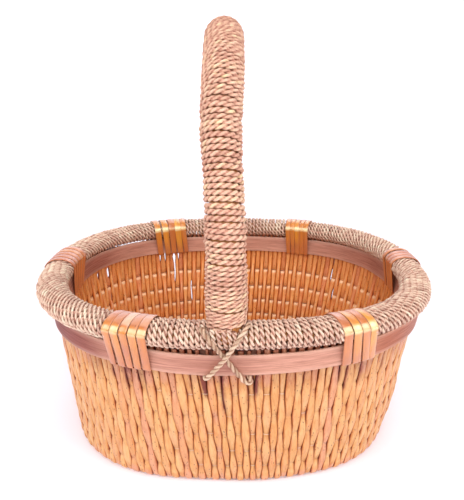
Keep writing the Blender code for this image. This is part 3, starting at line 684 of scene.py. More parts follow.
# ------------------------------------------------------------------ floor
def build_floor():
    piece = Piece()
    z0, width = 8.7, 7.0
    rows_x = np.arange(-140, 141, 40.0)
    sides = 10
    a = 2 * PI * np.arange(sides) / sides
    count = 37
    ring_s = np.linspace(0, 1, 4000)
    edge = wall(ring_s, 9.0, -5.2)
    for j in range(count):
        y = (j - (count - 1) / 2) * width + rng.uniform(-0.2, 0.2)
        near = np.abs(edge[:, 1] - y) < 0.6
        if not near.any():
            continue
        lo, hi = edge[near, 0].min(), edge[near, 0].max()
        if hi - lo < 20:
            continue
        x = np.linspace(lo, hi, 90)
        grow = np.minimum(1, np.minimum(x - lo, hi - x) / 2.0 + 0.35)
        w = np.cos(PI * ((x - rows_x[0]) / 40.0 + j))
        c, sn = np.cos(a), np.sin(a)
        hw = 3.45 * (1 + 0.06 * w) * grow
        ht = 2.1 * grow
        rings = np.stack(np.broadcast_arrays(
            x[:, None], y + 0.5 * noise(x / 50, 300 + j)[:, None] + hw[:, None] * c,
            z0 + 0.6 * w[:, None] + ht[:, None] * sn), -1)[None]
        loc = np.stack(np.broadcast_arrays(x[:, None] + 500.0 * j, hw[:, None] * c, ht[:, None] * sn), -1)[None]
        tone = np.full(rings.shape[:3], rng.uniform(0, 1))
        piece.tubes(rings, loc, tone, np.zeros(rings.shape[:3]), girth=18)
    piece.make("floor_rods", FLOOR_WILLOW, "willow", "base_mat")
    piece = Piece()
    for r, x0 in enumerate(rows_x[1:-1]):
        near = np.abs(edge[:, 0] - x0) < 0.6
        lo, hi = edge[near, 1].min() + 1, edge[near, 1].max() - 1
        y = np.linspace(lo, hi, int((hi - lo) * 1.3))
        w = np.cos(PI * (y / width + (count - 1) / 2 + r + 1))
        up = -np.sign(w) * np.abs(w) ** 0.5 * 1.85
        a = 2 * PI * np.arange(6) / 6
        grow = np.minimum(1, np.minimum(y - lo, hi - y) / 1.0 + 0.2)[:, None]
        rings = np.stack(np.broadcast_arrays(x0 + 0.55 * grow * np.cos(a), y[:, None], z0 + up[:, None] + 0.5 * grow * np.sin(a)), -1)[None]
        loc = np.stack(np.broadcast_arrays(y[:, None] + 700.0 * r, 0.5 * np.cos(a), 0.5 * np.sin(a)), -1)[None]
        piece.tubes(rings, loc, np.full(rings.shape[:3], 0.7), np.ones(rings.shape[:3]), girth=3.2)
    piece.make("floor_twine", TWINE, "twine")


build_floor()


# ------------------------------------------------------------------ flat bands
def build_band(name, node, near, far, seed):
    n = 360
    s = np.arange(n) / n
    half = (BAND_TOP - BAND_BOTTOM) / 2
    mid = (BAND_TOP + BAND_BOTTOM) / 2
    r = 0.55
    t = (far - near)
    lean = np.sign(t)
    shape = []                                             # share across, height
    for cy, cz, a0 in ((1, 1, 0), (0, 1, 90), (0, -1, 180), (1, -1, 270)):
        for da in (0, 45, 90):
            an = math.radians(a0 + da)
            shape.append((cy * abs(t) + (r if cy == 0 else -r) + r * math.cos(an), cz * (half - r) + r * math.sin(an)))
    cut = []
    for k, (p, q) in enumerate(zip(shape, shape[1:] + shape[:1])):
        cut.append(p)
        if abs(p[1] - q[1]) > 5:
            cut += [(p[0] * (1 - f) + q[0] * f, p[1] * (1 - f) + q[1] * f) for f in (0.2, 0.4, 0.6, 0.8)]
    cut = np.array(cut)
    wob = 0.35 * noise(s * 24, seed, 24) + 0.25 * noise(s * 60, seed + 1, 60)
    out = 0.25 * noise(s * 30, seed + 2, 30)
    zz = mid + (cut[:, 1][None] * 1.03 + wob[:, None] + band_lift(s, near < 0)[:, None])
    off = near + lean * cut[:, 0][None] + out[:, None] * (cut[:, 0] > 0.5 * abs(t))[None]
    rings = wall(s[:, None], zz, off)[None]
    loc = np.stack(np.broadcast_arrays(s[:, None] * PERIMETER + 3000 * seed, cut[:, 1][None], cut[:, 0][None]), -1)[None]
    piece = Piece()
    def patch(c, w):
        return np.exp(-(((s - c + 0.5) % 1 - 0.5) / w) ** 2)
    # the outer band is painted darker in patches, mostly painted shade under the rim at its left end and about the
    # lashings, partly its own tone; the inner band likewise towards its left and right sides
    if near > 0:
        tone = (0.04 + 0.95 * patch(0.83, 0.04) + 0.50 * patch(0.878, 0.03) + 0.26 * patch(0.955, 0.03)
                + 0.35 * patch(0.995, 0.018) + 0.42 * patch(0.126, 0.022) + 0.46 * patch(0.168, 0.025))
    else:
        tone = 0.10 + 0.54 * patch(0.70, 0.06) + 0.42 * patch(0.315, 0.04) + 0.10 * patch(0.43, 0.04)
    tone = np.clip(tone + 0.08 * noise(s * 40, seed + 4, 40), 0, 1)
    piece.tubes(rings, loc, np.broadcast_to(tone[None, :, None], rings.shape[:3]),
                np.broadcast_to(step(np.abs(cut[:, 1]), half - 0.9, half - 0.3), rings.shape[:3]), closed=True, girth=44,
                marks_and_painted_light=np.broadcast_to((near > 0) * np.minimum(patch(0.128, 0.026) + 0.40 * patch(0.178, 0.035), 1)[None, :, None], rings.shape[:3]))
    piece.make(name, SPLINT, "splint", node)


build_band("band_outside", "outer_band", 4.3, 6.5, 20)
build_band("band_inside", "inner_band", -4.3, -6.5, 30)


# ------------------------------------------------------------------ rim
def build_hoop():
    n, m = 240, 12
    s = np.arange(n) / n
    a = 2 * PI * np.arange(m) / m
    rings = rim(s[:, None], HOOP_HALF_W * np.cos(a), HOOP_HALF_H * np.sin(a))[None]
    loc = np.stack(np.broadcast_arrays(s[:, None] * PERIMETER, HOOP_HALF_W * np.cos(a), HOOP_HALF_H * np.sin(a)), -1)[None]
    piece = Piece()
    piece.tubes(rings, loc, np.ones(rings.shape[:3]), np.ones(rings.shape[:3]), closed=True, girth=46)
    piece.make("hoop", POLE, "pole", "rim_hoop")


build_hoop()

RIM_TURNS = 250                                            # closer together along the front
PER_TURN = 72
RIM_LAY = 11.5


def cord_rings(line, nrm, bi, offset, radius, lay, phase, spin, sides=6, flat=1.0):
    """Two strands twisted round a line, given its two cross directions."""
    run = np.concatenate(([0], np.cumsum(np.linalg.norm(np.diff(line, axis=0), axis=1))))
    lay = np.broadcast_to(lay, run.shape)
    twist = np.concatenate(([0], np.cumsum(np.diff(run) / lay[:-1])))
    k = 2 * PI * np.arange(sides) / sides
    out, locs = [], []
    for strand in range(2):
        chi = spin * 2 * PI * twist + phase + PI * strand
        a = (offset * np.cos(chi))[:, None] + (radius * np.ones_like(run))[:, None] * np.cos(k)
        b = (offset * np.sin(chi))[:, None] + (radius * np.ones_like(run))[:, None] * np.sin(k)
        out.append(line[:, None] + a[..., None] * nrm[:, None] + flat * b[..., None] * bi[:, None])
        turn = k[None] - chi[:, None]                      # fibres follow the strand round
        locs.append(np.stack(np.broadcast_arrays(run[:, None] + 1700.0 * strand + 13 * phase,
                                                 1.2 * np.cos(turn), 1.2 * np.sin(turn)), -1))
    return np.stack(out), np.stack(locs), run


# where each turn lies along the rim, measured from its binding's middle: over
# the rim and at the foot of its outer and inner legs, and its width at the three
STRIP_SET = {
    "front_left": (0.9208, (-14.8, -7.4, 0.0, 7.4, 14.8), (-19.5, -11.2, -3.6, 3.6, 11.6), (-13.0, -6.2, 0.4, 7.0, 13.6),
                   (7.3, 7.4, 7.3, 7.4, 7.4), (5.7, 7.0, 5.9, 6.2, 7.2), (6.4, 6.4, 6.4, 6.4, 6.4), -3.0),
    "front_right": (0.0913, (-11.0, -2.9, 4.5, 11.6), (-6.0, 3.4, 12.4, 18.4), (-10.0, -3.0, 4.0, 11.0),
                    (7.9, 7.6, 7.1, 7.4), (8.7, 8.2, 7.0, 7.0), (6.4, 6.4, 6.4, 6.4), 4.0),
    "right": (0.2600, (13.8, 4.0, -3.4, -10.8), (10.5, 3.2, -3.8, -10.6), (14.5, 5.4, -1.0, -7.2),
              (6.2, 7.2, 7.2, 7.2), (6.2, 6.4, 6.4, 6.4), (5.4, 6.2, 6.2, 6.2), 0.0),
    "back_right": (0.4184, (12.6, 6.3, 0.0, -6.3, -12.6), (9.0, 3.0, -3.0, -9.0, -15.0), (12.4, 6.0, -0.3, -6.6, -12.2),
                   (6.0, 6.0, 6.1, 6.0, 6.1), (5.6, 5.6, 5.6, 5.6, 5.6), (5.3, 5.0, 5.9, 5.6, 5.5), 0.0),
    "back_left": (0.5832, (15.6, 4.6, -4.4, -12.8, -20.6), (13.0, 5.0, -3.0, -10.6, -18.0), (14.6, 3.6, -4.6, -13.6, -22.0),
                  (8.0, 8.4, 8.2, 8.0, 7.4), (6.8, 6.8, 6.8, 6.8, 6.8), (7.0, 6.8, 6.6, 7.6, 5.6), 0.0),
    "left": (0.7400, (-17.2, -8.6, 0.0, 8.6, 17.2), (-13.0, -5.0, 3.0, 11.0, 19.0), (-9.0, -2.4, 4.2, 10.8, 17.4),
             (7.5, 7.8, 7.7, 7.8, 7.5), (6.6, 6.6, 6.6, 6.6, 6.6), (5.5, 5.6, 5.5, 5.6, 5.5), 0.0),
}


def rim_line(turn, lo=0.0):
    """Line of the rim cord, with the way out and the way along."""
    th = PI / 2 - 2 * PI * turn
    _g = np.linspace(-1, 2, 6001)
    s = np.interp(turn, RIM_TURNS * _g + 12 * np.sin(2 * PI * _g) / (2 * PI), _g) + (0.30 * noise(turn * 1.0, 401) + 0.22 * noise(turn * 2.3, 402)) / PERIMETER
    puff = 0.22 * noise(turn * 1.3, 403) + 0.15 * noise(turn * 5, 404)
    for strips in STRIP_SET.values():                      # the bindings press the cord in
        d = ((s - strips[0] + 0.5) % 1 - 0.5) * PERIMETER
        under = step(d, min(strips[1]) - 2.5, min(strips[1])) * (1 - step(d, max(strips[1]), max(strips[1]) + 2.5))
        puff = puff - under * (0.5 + 1.2 * np.maximum(np.cos(th), 0) ** 2 + 0.5 * np.maximum(-np.cos(th), 0) ** 2)
    aw, ah = RIM_HALF_W - 1.90 + puff, RIM_HALF_H - 1.20 + puff
    line = rim(s, aw * np.cos(th), ah * np.sin(th))
    nu, nw = np.cos(th) / aw, np.sin(th) / ah
    size = np.hypot(nu, nw)
    far = rim(s, aw * np.cos(th) + nu / size, ah * np.sin(th) + nw / size)
    bi = unit(rim(s + 1e-4, aw * np.cos(th), ah * np.sin(th)) - rim(s - 1e-4, aw * np.cos(th), ah * np.sin(th)))
    return line, unit(far - line), bi, th


def rope_tone(run, seed, strands=2):
    return np.stack([np.clip(0.56 + 0.32 * noise(run / 45, seed + 3 * j) + 0.30 * noise(run / 9, seed + 3 * j + 1), 0, 1)
                     for j in range(strands)])


def groove_of(rings, line, offset, radius):
    """1 where the two strands meet, 0 along the back of each strand."""
    d = np.linalg.norm(rings - line[None, :, None], axis=-1)
    lo = math.sqrt(max(radius ** 2 - offset ** 2, 0.05))
    return 1 - step(d, lo, lo + 0.62 * (offset + radius - lo))


def depth_of(rings, line, nrm, half):
    """0 deep between the turns, 1 on the outside of a wound cord."""
    d = np.einsum("brmk,rk->brm", rings - line[None, :, None], nrm)
    return np.clip(0.5 + d / (2 * half), 0, 1)


BINDING_AT = {"front_left": 0.9208, "front_right": 0.0913, "right": 0.2600,
              "back_right": 0.4184, "back_left": 0.5832, "left": 0.7400}


def build_rim():
    at = BINDING_AT
    cut, close = 12.5 / PERIMETER, 8.5 / PERIMETER
    hf, hb = HANDLE_S % 1, HANDLE_S_BACK % 1
    spans = (
        ("front_right", hf - 1 + cut, at["front_right"]), ("right_front", at["front_right"], at["right"]),
        ("right_back", at["right"], at["back_right"]), ("back_right", at["back_right"], hb - cut),
        ("back_left", hb + cut, at["back_left"]), ("left_back", at["back_left"], at["left"]),
        ("left_front", at["left"], at["front_left"]), ("front_left", at["front_left"], hf - close),
    )
    for k, (name, lo, hi) in enumerate(spans):
        if hi < lo:
            hi += 1
        lo, hi = (RIM_TURNS * v + 12 * math.sin(2 * PI * v) / (2 * PI) for v in (lo, hi))
        turn = np.linspace(lo, hi, int((hi - lo) * PER_TURN) + 1)
        line, nrm, bi, th = rim_line(turn)
        rings, loc, run = cord_rings(line, nrm, bi, 0.98, 1.24, RIM_LAY, 1.3 * k, 1)
        # tone shifted per span: darker along the front right, lighter along the back right
        span_tone_shift = {"front_right": -0.10, "right_front": -0.08, "right_back": 0.04, "back_right": 0.06}.get(name, 0.0)
        tone = np.broadcast_to(np.clip(rope_tone(run, 500 + 20 * k) + span_tone_shift, 0, 1)[..., None], rings.shape[:3])
        piece = Piece()
        piece.tubes(rings, loc, tone, depth_of(rings, line, nrm, 2.2), girth=7.8, marks_and_painted_light=groove_of(rings, line, 0.98, 1.24))
        # short strands tied across the handle's foot
        for foot, end in (("front", hf + 1.9 / PERIMETER), ("back", hb)):
            if (foot, name) in (("front", "front_left"), ("back", "back_left")):
                for j in range(5):
                    high = (12.4, 12.4, 12.4, 12.4, 10.0)[j]
                    th2 = np.radians(np.linspace(6, -200, 36))
                    aw, ah = RIM_HALF_W - 1.9, RIM_HALF_H - 1.3
                    uv = np.concatenate([np.stack([np.linspace(13.9, 13.4, 10), np.linspace(high, 2.2, 10)], -1),
                                         np.stack([aw * np.cos(th2), ah * np.sin(th2)], -1)])
                    s2 = end + (-7.6 + 4.3 * j + 3.4 * np.linspace(-1, 1, len(uv))) / PERIMETER
                    l2 = rim(s2, uv[:, 0], uv[:, 1])
                    d2 = unit(np.gradient(uv, axis=0))
                    n2 = unit(rim(s2, uv[:, 0] - d2[:, 1], uv[:, 1] + d2[:, 0]) - l2)
                    b2 = unit(rim(s2 + 1e-4, 0, 0) - rim(s2 - 1e-4, 0, 0))
                    r2, lo2, run2 = cord_rings(l2, n2, b2, 0.96, 1.20, RIM_LAY, 0.9 * j, 1)
                    t2 = np.broadcast_to(rope_tone(run2 + 200 * j, 690)[..., None], r2.shape[:3])
                    piece.tubes(r2, lo2 + 400.0 * j, t2, depth_of(r2, l2, n2, 2.2), girth=7.8, marks_and_painted_light=groove_of(r2, l2, 0.96, 1.20))
        piece.make("rim_cord_" + name, RIM_ROPE, "rim_seagrass", "rim_wrap_" + name)


build_rim()


# ------------------------------------------------------------------ cane bindings
def curve_through(points, per=8):
    """Catmull-Rom line through points of any dimension."""
    p = np.concatenate([2 * points[:1] - points[1:2], points, 2 * points[-1:] - points[-2:-1]])
    t = np.linspace(0, 1, per, endpoint=False)[:, None]
    out = []
    for k in range(1, len(p) - 2):
        a, b, c, d = p[k - 1], p[k], p[k + 1], p[k + 2]
        out.append(0.5 * (2 * b + (c - a) * t + (2 * a - 5 * b + 4 * c - d) * t ** 2 + (3 * b - a - 3 * c + d) * t ** 3))
    return np.concatenate(out + [points[-1:]])


def build_binding(name, seed):
    middle, at_top, at_out, at_in, w_top, w_out, w_in, skew = STRIP_SET[name]
    r = np.random.default_rng(seed)
    pts, key, wid = [], [], []
    per = 5
    crown = (15, 19, 28, 41, 56, 73, 90, 107, 124, 139, 152, 161, 165)
    lift_in = float(band_lift(np.array(middle), True))
    lift_out = float(band_lift(np.array(middle), False))
    for j in range(len(at_top)):
        s_c = middle + (at_top[j] + r.uniform(-0.2, 0.2)) / PERIMETER
        s_o = middle + (at_out[j] + r.uniform(-0.2, 0.2)) / PERIMETER
        s_i = middle + (at_in[j] + r.uniform(-0.2, 0.2)) / PERIMETER
        zo, zi = 128.6 + lift_out, 128.6 + lift_in
        over = []
        for d in crown:
            a = math.radians(d)
            c, sn = math.cos(a), math.sin(a)
            rr = (abs(c) ** 2.15 + abs(sn) ** 2.15) ** (-1 / 2.15)
            sc = s_c - skew * (d - 20) / 140.0 / PERIMETER
            over.append((sc, rim(sc, (RIM_HALF_W + 0.9) * rr * c, (RIM_HALF_H + 1.7) * rr * sn), w_top[j]))

        def leg(s_f, z_f, lean, w_f, start):
            foot = wall(s_f, z_f + 1.4, 7.9 * lean)
            line = [(s_f, wall(s_f, z_f - 0.4, 3.6 * lean), 0.9 * w_f), (s_f, wall(s_f, z_f - 0.3, 6.4 * lean), w_f),
                    (s_f, foot, w_f)]
            for f in (0.2, 0.5, 0.8):
                line.append((s_f + (start[0] - s_f) * f, foot + (start[1] - foot) * f, w_f + (start[2] - w_f) * f))
            return line
        rows = leg(s_o, zo, 1, w_out[j], over[0]) + over + leg(s_i, zi, -1, w_in[j], over[-1])[::-1]
        for sv, p, w in rows:
            pts.append(p)
            key.append(sv)
            wid.append(w)
    line = curve_through(np.concatenate([np.array(pts), np.array(key)[:, None], np.array(wid)[:, None]], 1), per)
    p, s, width = line[:, :3], line[:, 3], line[:, 4]
    along = unit(rim(s + 1e-4, 0, 0) - rim(s - 1e-4, 0, 0))
    tan = unit(np.gradient(p, axis=0))
    wide = unit(along - tan * np.einsum("ij,ij->i", along, tan)[:, None])
    face = unit(np.cross(tan, wide))
    centre = rim(s, 0, -12.0)
    if np.einsum("ij,ij->i", face, p - centre).mean() < 0:
        face = -face
    shape = np.array([(-0.47, -0.5), (-0.5, -0.15), (-0.48, 0.12), (-0.40, 0.30), (-0.2, 0.46), (0.0, 0.52), (0.2, 0.46),
                      (0.40, 0.30), (0.48, 0.12), (0.5, -0.15), (0.47, -0.5), (0.0, -0.5)])
    thick = 1.15
    rings = (p[:, None] + shape[:, 0][None, :, None] * width[:, None, None] * wide[:, None]
             + shape[:, 1][None, :, None] * thick * face[:, None])[None]
    run = np.concatenate(([0], np.cumsum(np.linalg.norm(np.diff(p, axis=0), axis=1))))
    loc = np.stack(np.broadcast_arrays(run[:, None] + 977.0 * seed, shape[:, 0][None] * width[:, None], shape[:, 1][None]), -1)[None]
    old, bend_highlight_in, bend_highlight_out = {"left": (0.5, 0.2, 0.2), "right": (0.4, 0.2, 0.2), "back_left": (-0.15, 1.5, 0.0), "back_right": (0.1, 1.4, 0.0),
                              "front_left": (0.12, 0.5, 0.75), "front_right": (-0.1, 0.5, 0.9)}[name]
    tone = np.clip(0.5 + 0.55 * noise(run / 75 + 0.5, seed + 5) - old, 0, 1)
    edge = np.abs(shape[:, 0]) * 2                          # 0 down the middle, 1 at the edges
    wear_and_painted_light = (1.25 if name == "front_left" else 0.85) * (1 - step(p[:, 2], 132 + lift_out, (163 if name == "front_left" else 154) + lift_out))
    inward = np.einsum("ij,ij->i", rim(s, 1.0, 0.0) - rim(s, 0.0, 0.0), p - rim(s, 0.0, 0.0)) < 0
    bend = step(p[:, 2], 165.0, 168.2) * (1 - step(p[:, 2], np.where(inward, 169.4, 171.5), np.where(inward, 172.6, 175.0)))
    # some turns are browner than their neighbours, and some have a painted sheen over the rim
    brown, painted_sheen = {"front_left": ((0.3, 0.15, 0.7, 0.25, 0.15), (0.5, 0.6, 0.8, 0.6, 0.75)),
                    "front_right": ((0.2, 0.1, 0.2, 0.1), (0.5, 0.1, 0.2, 0.0)),
                    "back_left": ((0.1, 0.0, 0.5, 0.05, 0.3), (0.0,) * 5), "back_right": ((0.2, 0.4, 0.1, 0.3, 0.2), (0.0,) * 5),
                    "left": ((0.4, 0.1, 0.3, 0.1, 0.3), (0.0,) * 5), "right": ((0.3, 0.1, 0.2, 0.4), (0.0,) * 4)}[name]
    which = np.minimum(np.arange(len(p)) * len(at_top) // len(p), len(at_top) - 1)
    brown, painted_sheen = np.array(brown)[which], np.array(painted_sheen)[which]
    wear_and_painted_light = np.minimum(wear_and_painted_light + 0.85 * brown, 1.1)
    wear_and_painted_light = wear_and_painted_light - np.where(inward, bend_highlight_in, bend_highlight_out) * (1 - brown) * bend                  # painted highlight where the strip bends over the rim
    # painted reflection along the top of the crown
    wear_and_painted_light = wear_and_painted_light + 2.2 * painted_sheen * step(p[:, 2], 172.0, 175.0)
    piece = Piece()
    piece.tubes(rings, loc, np.broadcast_to(tone[None, :, None], rings.shape[:3]),
                np.broadcast_to(edge[None, None, :], rings.shape[:3]), girth=17,
                marks_and_painted_light=np.broadcast_to(wear_and_painted_light[None, :, None], rings.shape[:3]))
    piece.make("cane_" + name, CANE, "cane", "cane_binding_" + name)


for k, name in enumerate(STRIP_SET):
    build_binding(name, 40 + k)


# ------------------------------------------------------------------ handle
FOOT_Y = float(rim(HANDLE_S, 0, 0)[1])


def wrap_radius(t):
    return 17.55 + 0.55 * t / (PI / 2) - 1.5 * np.exp(-((t - 0.5) / 0.3) ** 2)


def handle_line():
    """Centre line from the front foot over the top to the back foot."""
    t = np.linspace(0, PI, 1201)
    q = np.minimum(t, PI - t)
    front = t <= PI / 2
    x = HANDLE_X - 0.7 * np.sin(q) ** 2
    x = x + np.where(front, 1.8 * np.cos(q) ** 6 - HANDLE_BOW * np.exp(-((q - 0.73) / 0.22) ** 2), 0.0)
    y = np.where(front, 1.0, -1.0) * FOOT_Y * np.cos(q)
    z = HANDLE_SPRING_Z + (HANDLE_TOP_Z - 1.4 - HANDLE_SPRING_Z) * np.sin(q)
    p = np.stack([x, y, z], -1)
    r = wrap_radius(q)
    down = np.linspace(15, 0.5, 16)
    drop = np.zeros((16, 3))
    drop[:, 2] = down
    p = np.concatenate([p[:1] - drop, p, p[-1:] - drop[::-1]])
    r = np.concatenate([np.full(16, r[0]), r, np.full(16, r[-1])])
    run = np.concatenate(([0], np.cumsum(np.linalg.norm(np.diff(p, axis=0), axis=1)))) - 15.0
    return p, r, run


H_P, H_R, H_RUN = handle_line()
H_LONG = H_RUN[-1] - 15.0                                  # from spring to spring
_tan = unit(np.gradient(H_P, axis=0))
_side = unit(np.array([1.0, 0, 0]) - _tan * _tan[:, :1])
_out = np.cross(_side, _tan)


def along_handle(at):
    def pick(a):
        return np.stack([np.interp(at, H_RUN, a[:, k]) for k in range(3)], -1)
    return pick(H_P), unit(pick(_tan)), unit(pick(_side)), unit(pick(_out)), np.interp(at, H_RUN, H_R)


def build_core():
    at = np.concatenate([np.linspace(H_RUN[0] + 0.01, 10, 6), np.linspace(18, H_LONG - 18, 90), np.linspace(H_LONG - 10, H_RUN[-1] - 0.01, 6)])
    p, tan, side, out, r = along_handle(at)
    m = 20
    a = 2 * PI * np.arange(m) / m
    rc = (r - 4.9)[:, None, None]
    rings = (p[:, None] + rc * (np.cos(a)[None, :, None] * out[:, None] + np.sin(a)[None, :, None] * side[:, None]))[None]
    loc = np.stack(np.broadcast_arrays(at[:, None], 12 * np.cos(a)[None], 12 * np.sin(a)[None]), -1)[None]
    piece = Piece()
    piece.tubes(rings, loc, np.ones(rings.shape[:3]), np.ones(rings.shape[:3]), girth=70)
    piece.make("handle_pole", POLE, "pole", "handle_core")


build_core()


def build_handle_rope():
    fine = np.linspace(-1.9, H_LONG + 1.9, 6000)
    far = np.minimum(fine, H_LONG - fine)
    pitch = 3.25 + 1.25 * step(far, 6, 75) - 0.80 * step(far, 160, 270) + 0.16 * noise(fine / 26, 601)
    count = np.concatenate(([0], np.cumsum(np.diff(fine) / pitch[:-1])))
    total = count[-1]
    per = 100
    turn = np.linspace(0, total, int(total * per) + 1)
    at = np.interp(turn, count, fine)
    pt = np.interp(turn, count, pitch)
    at = at + 0.46 * noise(turn * 1.0, 602) + 0.26 * noise(turn * 2.7, 603)
    p, tan, side, out, r = along_handle(at)
    alpha = 0.35 - 2 * PI * turn
    puff = 0.46 * noise(turn * 1.1, 604) + 0.26 * noise(turn * 4.0, 605)
    far = np.minimum(at, H_LONG - at)
    scale = pt / 4.5
    size = 0.06 + 0.94 * scale                             # strands thin out where the turns lie closer
    rad = r - 2.5 + 1.4 * (1 - size) + puff - 3.2 * (1 - step(np.minimum(turn, total - turn), 0.0, 0.12))
    away = np.cos(alpha)[:, None] * out + np.sin(alpha)[:, None] * side
    line = p + rad[:, None] * away
    lay = 11.6 + 1.6 * (1 - step(far, 6, 75)) - 1.4 * step(far, 190, 270)
    halves = np.array_split(np.arange(len(turn)), 2)
    for k, part in enumerate(halves):
        if k == 0:
            part = np.append(part, part[-1] + 1)
        rings, loc, run = cord_rings(line[part], away[part], tan[part], 0.78, 1.58, lay[part], 0.4 + 2.1 * k, -1)
        mid = line[part][None, :, None]
        groove = groove_of(rings, line[part], 0.78, 1.58)
        rings = mid + (rings - mid) * size[part][None, :, None, None]
        gold = 0.46 * np.stack([step(noise(run / 16, 660 + 40 * k + j), 0.74, 0.98) for j in range(2)]) * step(far[part], 90, 150)
        tone = 0.06 + 0.80 * rope_tone(run, 620 + 40 * k) - 0.38 * step(far[part], 205, 285) + gold
        tone = np.broadcast_to(tone[..., None], rings.shape[:3])
        piece = Piece()
        piece.tubes(rings, loc + 5000.0 * k, tone, depth_of(rings, line[part], away[part], 2.5), girth=8.6, marks_and_painted_light=groove)
        piece.make("handle_rope_" + ("front", "back")[k], HANDLE_ROPE, "handle_rope", "handle_wrap")


build_handle_rope()


# ------------------------------------------------------------------ lashings
def lash_points(middle, rim_part, wall_part, proud):
    """Line of one lashing cord: hooked under the rim's turns, down to the wall."""
    def up(along, deg, out):
        a = math.radians(deg)
        return rim(middle + along / PERIMETER, (RIM_HALF_W + out) * math.cos(a), (RIM_HALF_H + 0.8 + out) * math.sin(a))

    line = [up(rim_part[0][0] * 0.84, rim_part[0][1] + 28, -5.5), up(rim_part[0][0] * 0.94, rim_part[0][1] + 11, -2.2)]
    line += [up(along, deg, proud) for along, deg in rim_part]
    line += [wall(middle + along / PERIMETER, z, off) for along, off, z in wall_part]
    return np.array(line)


def build_lash(name, node, points, seed):
    line = curve_through(points, 9)
    tan = unit(np.gradient(line, axis=0))
    nrm = np.zeros_like(line)
    nrm[0] = unit(np.cross(tan[0], (0.3, 0.2, 0.9)))
    for k in range(1, len(line)):
        nrm[k] = unit(nrm[k - 1] - tan[k] * np.dot(nrm[k - 1], tan[k]))
    bi = np.cross(tan, nrm)
    rings, loc, run = cord_rings(line, nrm, bi, 0.84, 1.34, 12.6, 0.5 * seed, 1, sides=8)
    tone = np.broadcast_to(rope_tone(run, 700 + seed)[..., None], rings.shape[:3])
    piece = Piece()
    piece.tubes(rings, loc + 300.0 * seed, tone, np.ones(rings.shape[:3]), girth=7.2, marks_and_painted_light=groove_of(rings, line, 0.84, 1.34))
    piece.make(name, LASH_ROPE, "lashing_cord", node)


OVER = (((19.1, 66), (13.4, 31), (7.8, -5.5)),
        ((-1.8, 14.0, 150.0), (-8.4, 11.4, 139.0), (-16.0, 8.8, 127.4), (-17.8, 6.0, 125.6), (-18.2, 2.4, 124.8)))
UNDER = (((-16.4, 48), (-9.4, 8.3)),
         ((-1.6, 9.8, 147.6), (4.6, 9.0, 138.4), (14.4, 8.7, 125.4), (18.0, 8.7, 123.1), (20.2, 8.5, 124.0), (20.0, 7.2, 126.0), (18.8, 3.0, 126.2)))
for k, (name, sf) in enumerate((("front", HANDLE_S), ("back", HANDLE_S_BACK))):
    build_lash("lash_%s_over" % name, "lashing_%s_over" % name, lash_points(sf, *OVER, 2.2), 1 + 2 * k)
    build_lash("lash_%s_under" % name, "lashing_%s_under" % name, lash_points(sf, *UNDER, 2.7), 2 + 2 * k)


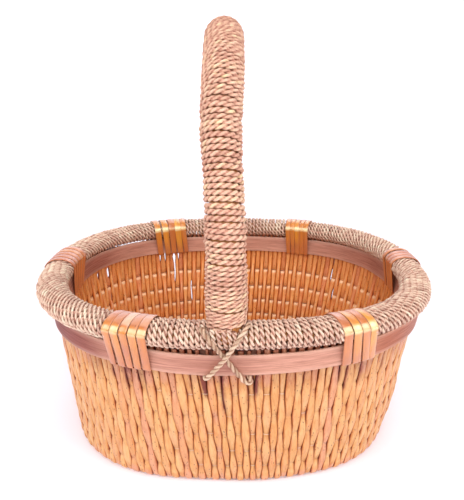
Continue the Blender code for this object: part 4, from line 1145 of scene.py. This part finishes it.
# ------------------------------------------------------------------ stage
def build_stage():
    """Pale paper sweep: flat under the basket, curving up far behind it."""
    side = [(-7.0, 0.0), (3.0, 0.0)] + [(3.0 + 1.5 * math.sin(a), 1.5 - 1.5 * math.cos(a)) for a in np.linspace(0.1, PI / 2, 16)]
    side.append((4.5, 6.0))
    me = bpy.data.meshes.new("studio_floor")
    me.from_pydata([(x, y, z) for y, z in side for x in (-9.0, 9.0)], [],
                   [(2 * k, 2 * k + 1, 2 * k + 3, 2 * k + 2) for k in range(len(side) - 1)])
    me.polygons.foreach_set("use_smooth", [True] * len(me.polygons))
    floor = bpy.data.objects.new("studio_floor", me)
    bpy.context.scene.collection.objects.link(floor)
    nd = Nodes("studio_paper")
    coord = nd.tree.nodes.new("ShaderNodeTexCoord").outputs["Object"]
    tint = nd.noise(coord, (3.0, 3.0, 3.0), 2.0)
    nd.finish(nd.ramp(tint, [(0.3, (0.94, 0.905, 0.985)), (0.7, (0.96, 0.925, 0.995))]), 0.8, None)
    me.materials.append(nd.mat)

    world = bpy.data.worlds.new("studio")
    world.use_nodes = True
    back = world.node_tree.nodes["Background"]
    back.inputs["Color"].default_value = (1.0, 0.99, 1.0, 1.0)
    back.inputs["Strength"].default_value = 0.35
    bpy.context.scene.world = world

    def lamp(name, place, aim, size, watts, colour, tall=None):
        data = bpy.data.lights.new(name, "AREA")
        data.shape, data.size, data.energy, data.color = "DISK", size, watts, colour
        if tall:
            data.shape, data.size_y = "RECTANGLE", tall
        obj = bpy.data.objects.new(name, data)
        obj.location = place
        d = np.array(aim) - np.array(place)
        obj.rotation_euler = Vector(d).to_track_quat("-Z", "Y").to_euler()
        bpy.context.scene.collection.objects.link(obj)

    lamp("soft_front", (0.0, -1.38, 0.95), (0.0, 0.0, 0.15), 1.60, 12.0, (1.0, 0.985, 0.96), 0.70)
    lamp("soft_left", (-1.07, -0.72, 0.95), (0.0, 0.0, 0.15), 0.85, 7.2, (1.0, 0.985, 0.98))
    lamp("soft_right", (1.07, -0.70, 0.95), (0.0, 0.0, 0.15), 0.85, 7.2, (1.0, 0.985, 0.96))
    lamp("soft_back", (0.3, 1.5, 1.4), (0.0, 0.0, 0.15), 0.8, 2.5, (1.0, 0.99, 0.98))
    lamp("backdrop", (0.0, 2.4, 3.6), (0.0, 4.5, 1.2), 5.0, 110.0, (1.0, 1.0, 1.0), 0.8)
    sun = bpy.data.lights.new("soft_top", "SUN")
    sun.energy, sun.angle = 0.80, math.radians(45)
    obj = bpy.data.objects.new("soft_top", sun)
    obj.rotation_euler = (math.radians(30), math.radians(3), 0.0)
    bpy.context.scene.collection.objects.link(obj)


build_stage()

cam_data = bpy.data.cameras.new("camera")
cam_data.lens, cam_data.sensor_width, cam_data.sensor_fit = 36.0, 36.0, "AUTO"
cam_data.clip_start, cam_data.clip_end = 0.01, 50.0
cam = bpy.data.objects.new("camera", cam_data)
cam.location = (-0.0017, -0.503, 0.366)
cam.rotation_euler = (PI / 2 - 0.347, 0.0, 0.0)
bpy.context.scene.collection.objects.link(cam)
bpy.context.scene.camera = cam
bpy.context.scene.view_settings.view_transform = "Standard"
bpy.context.scene.view_settings.look = "None"
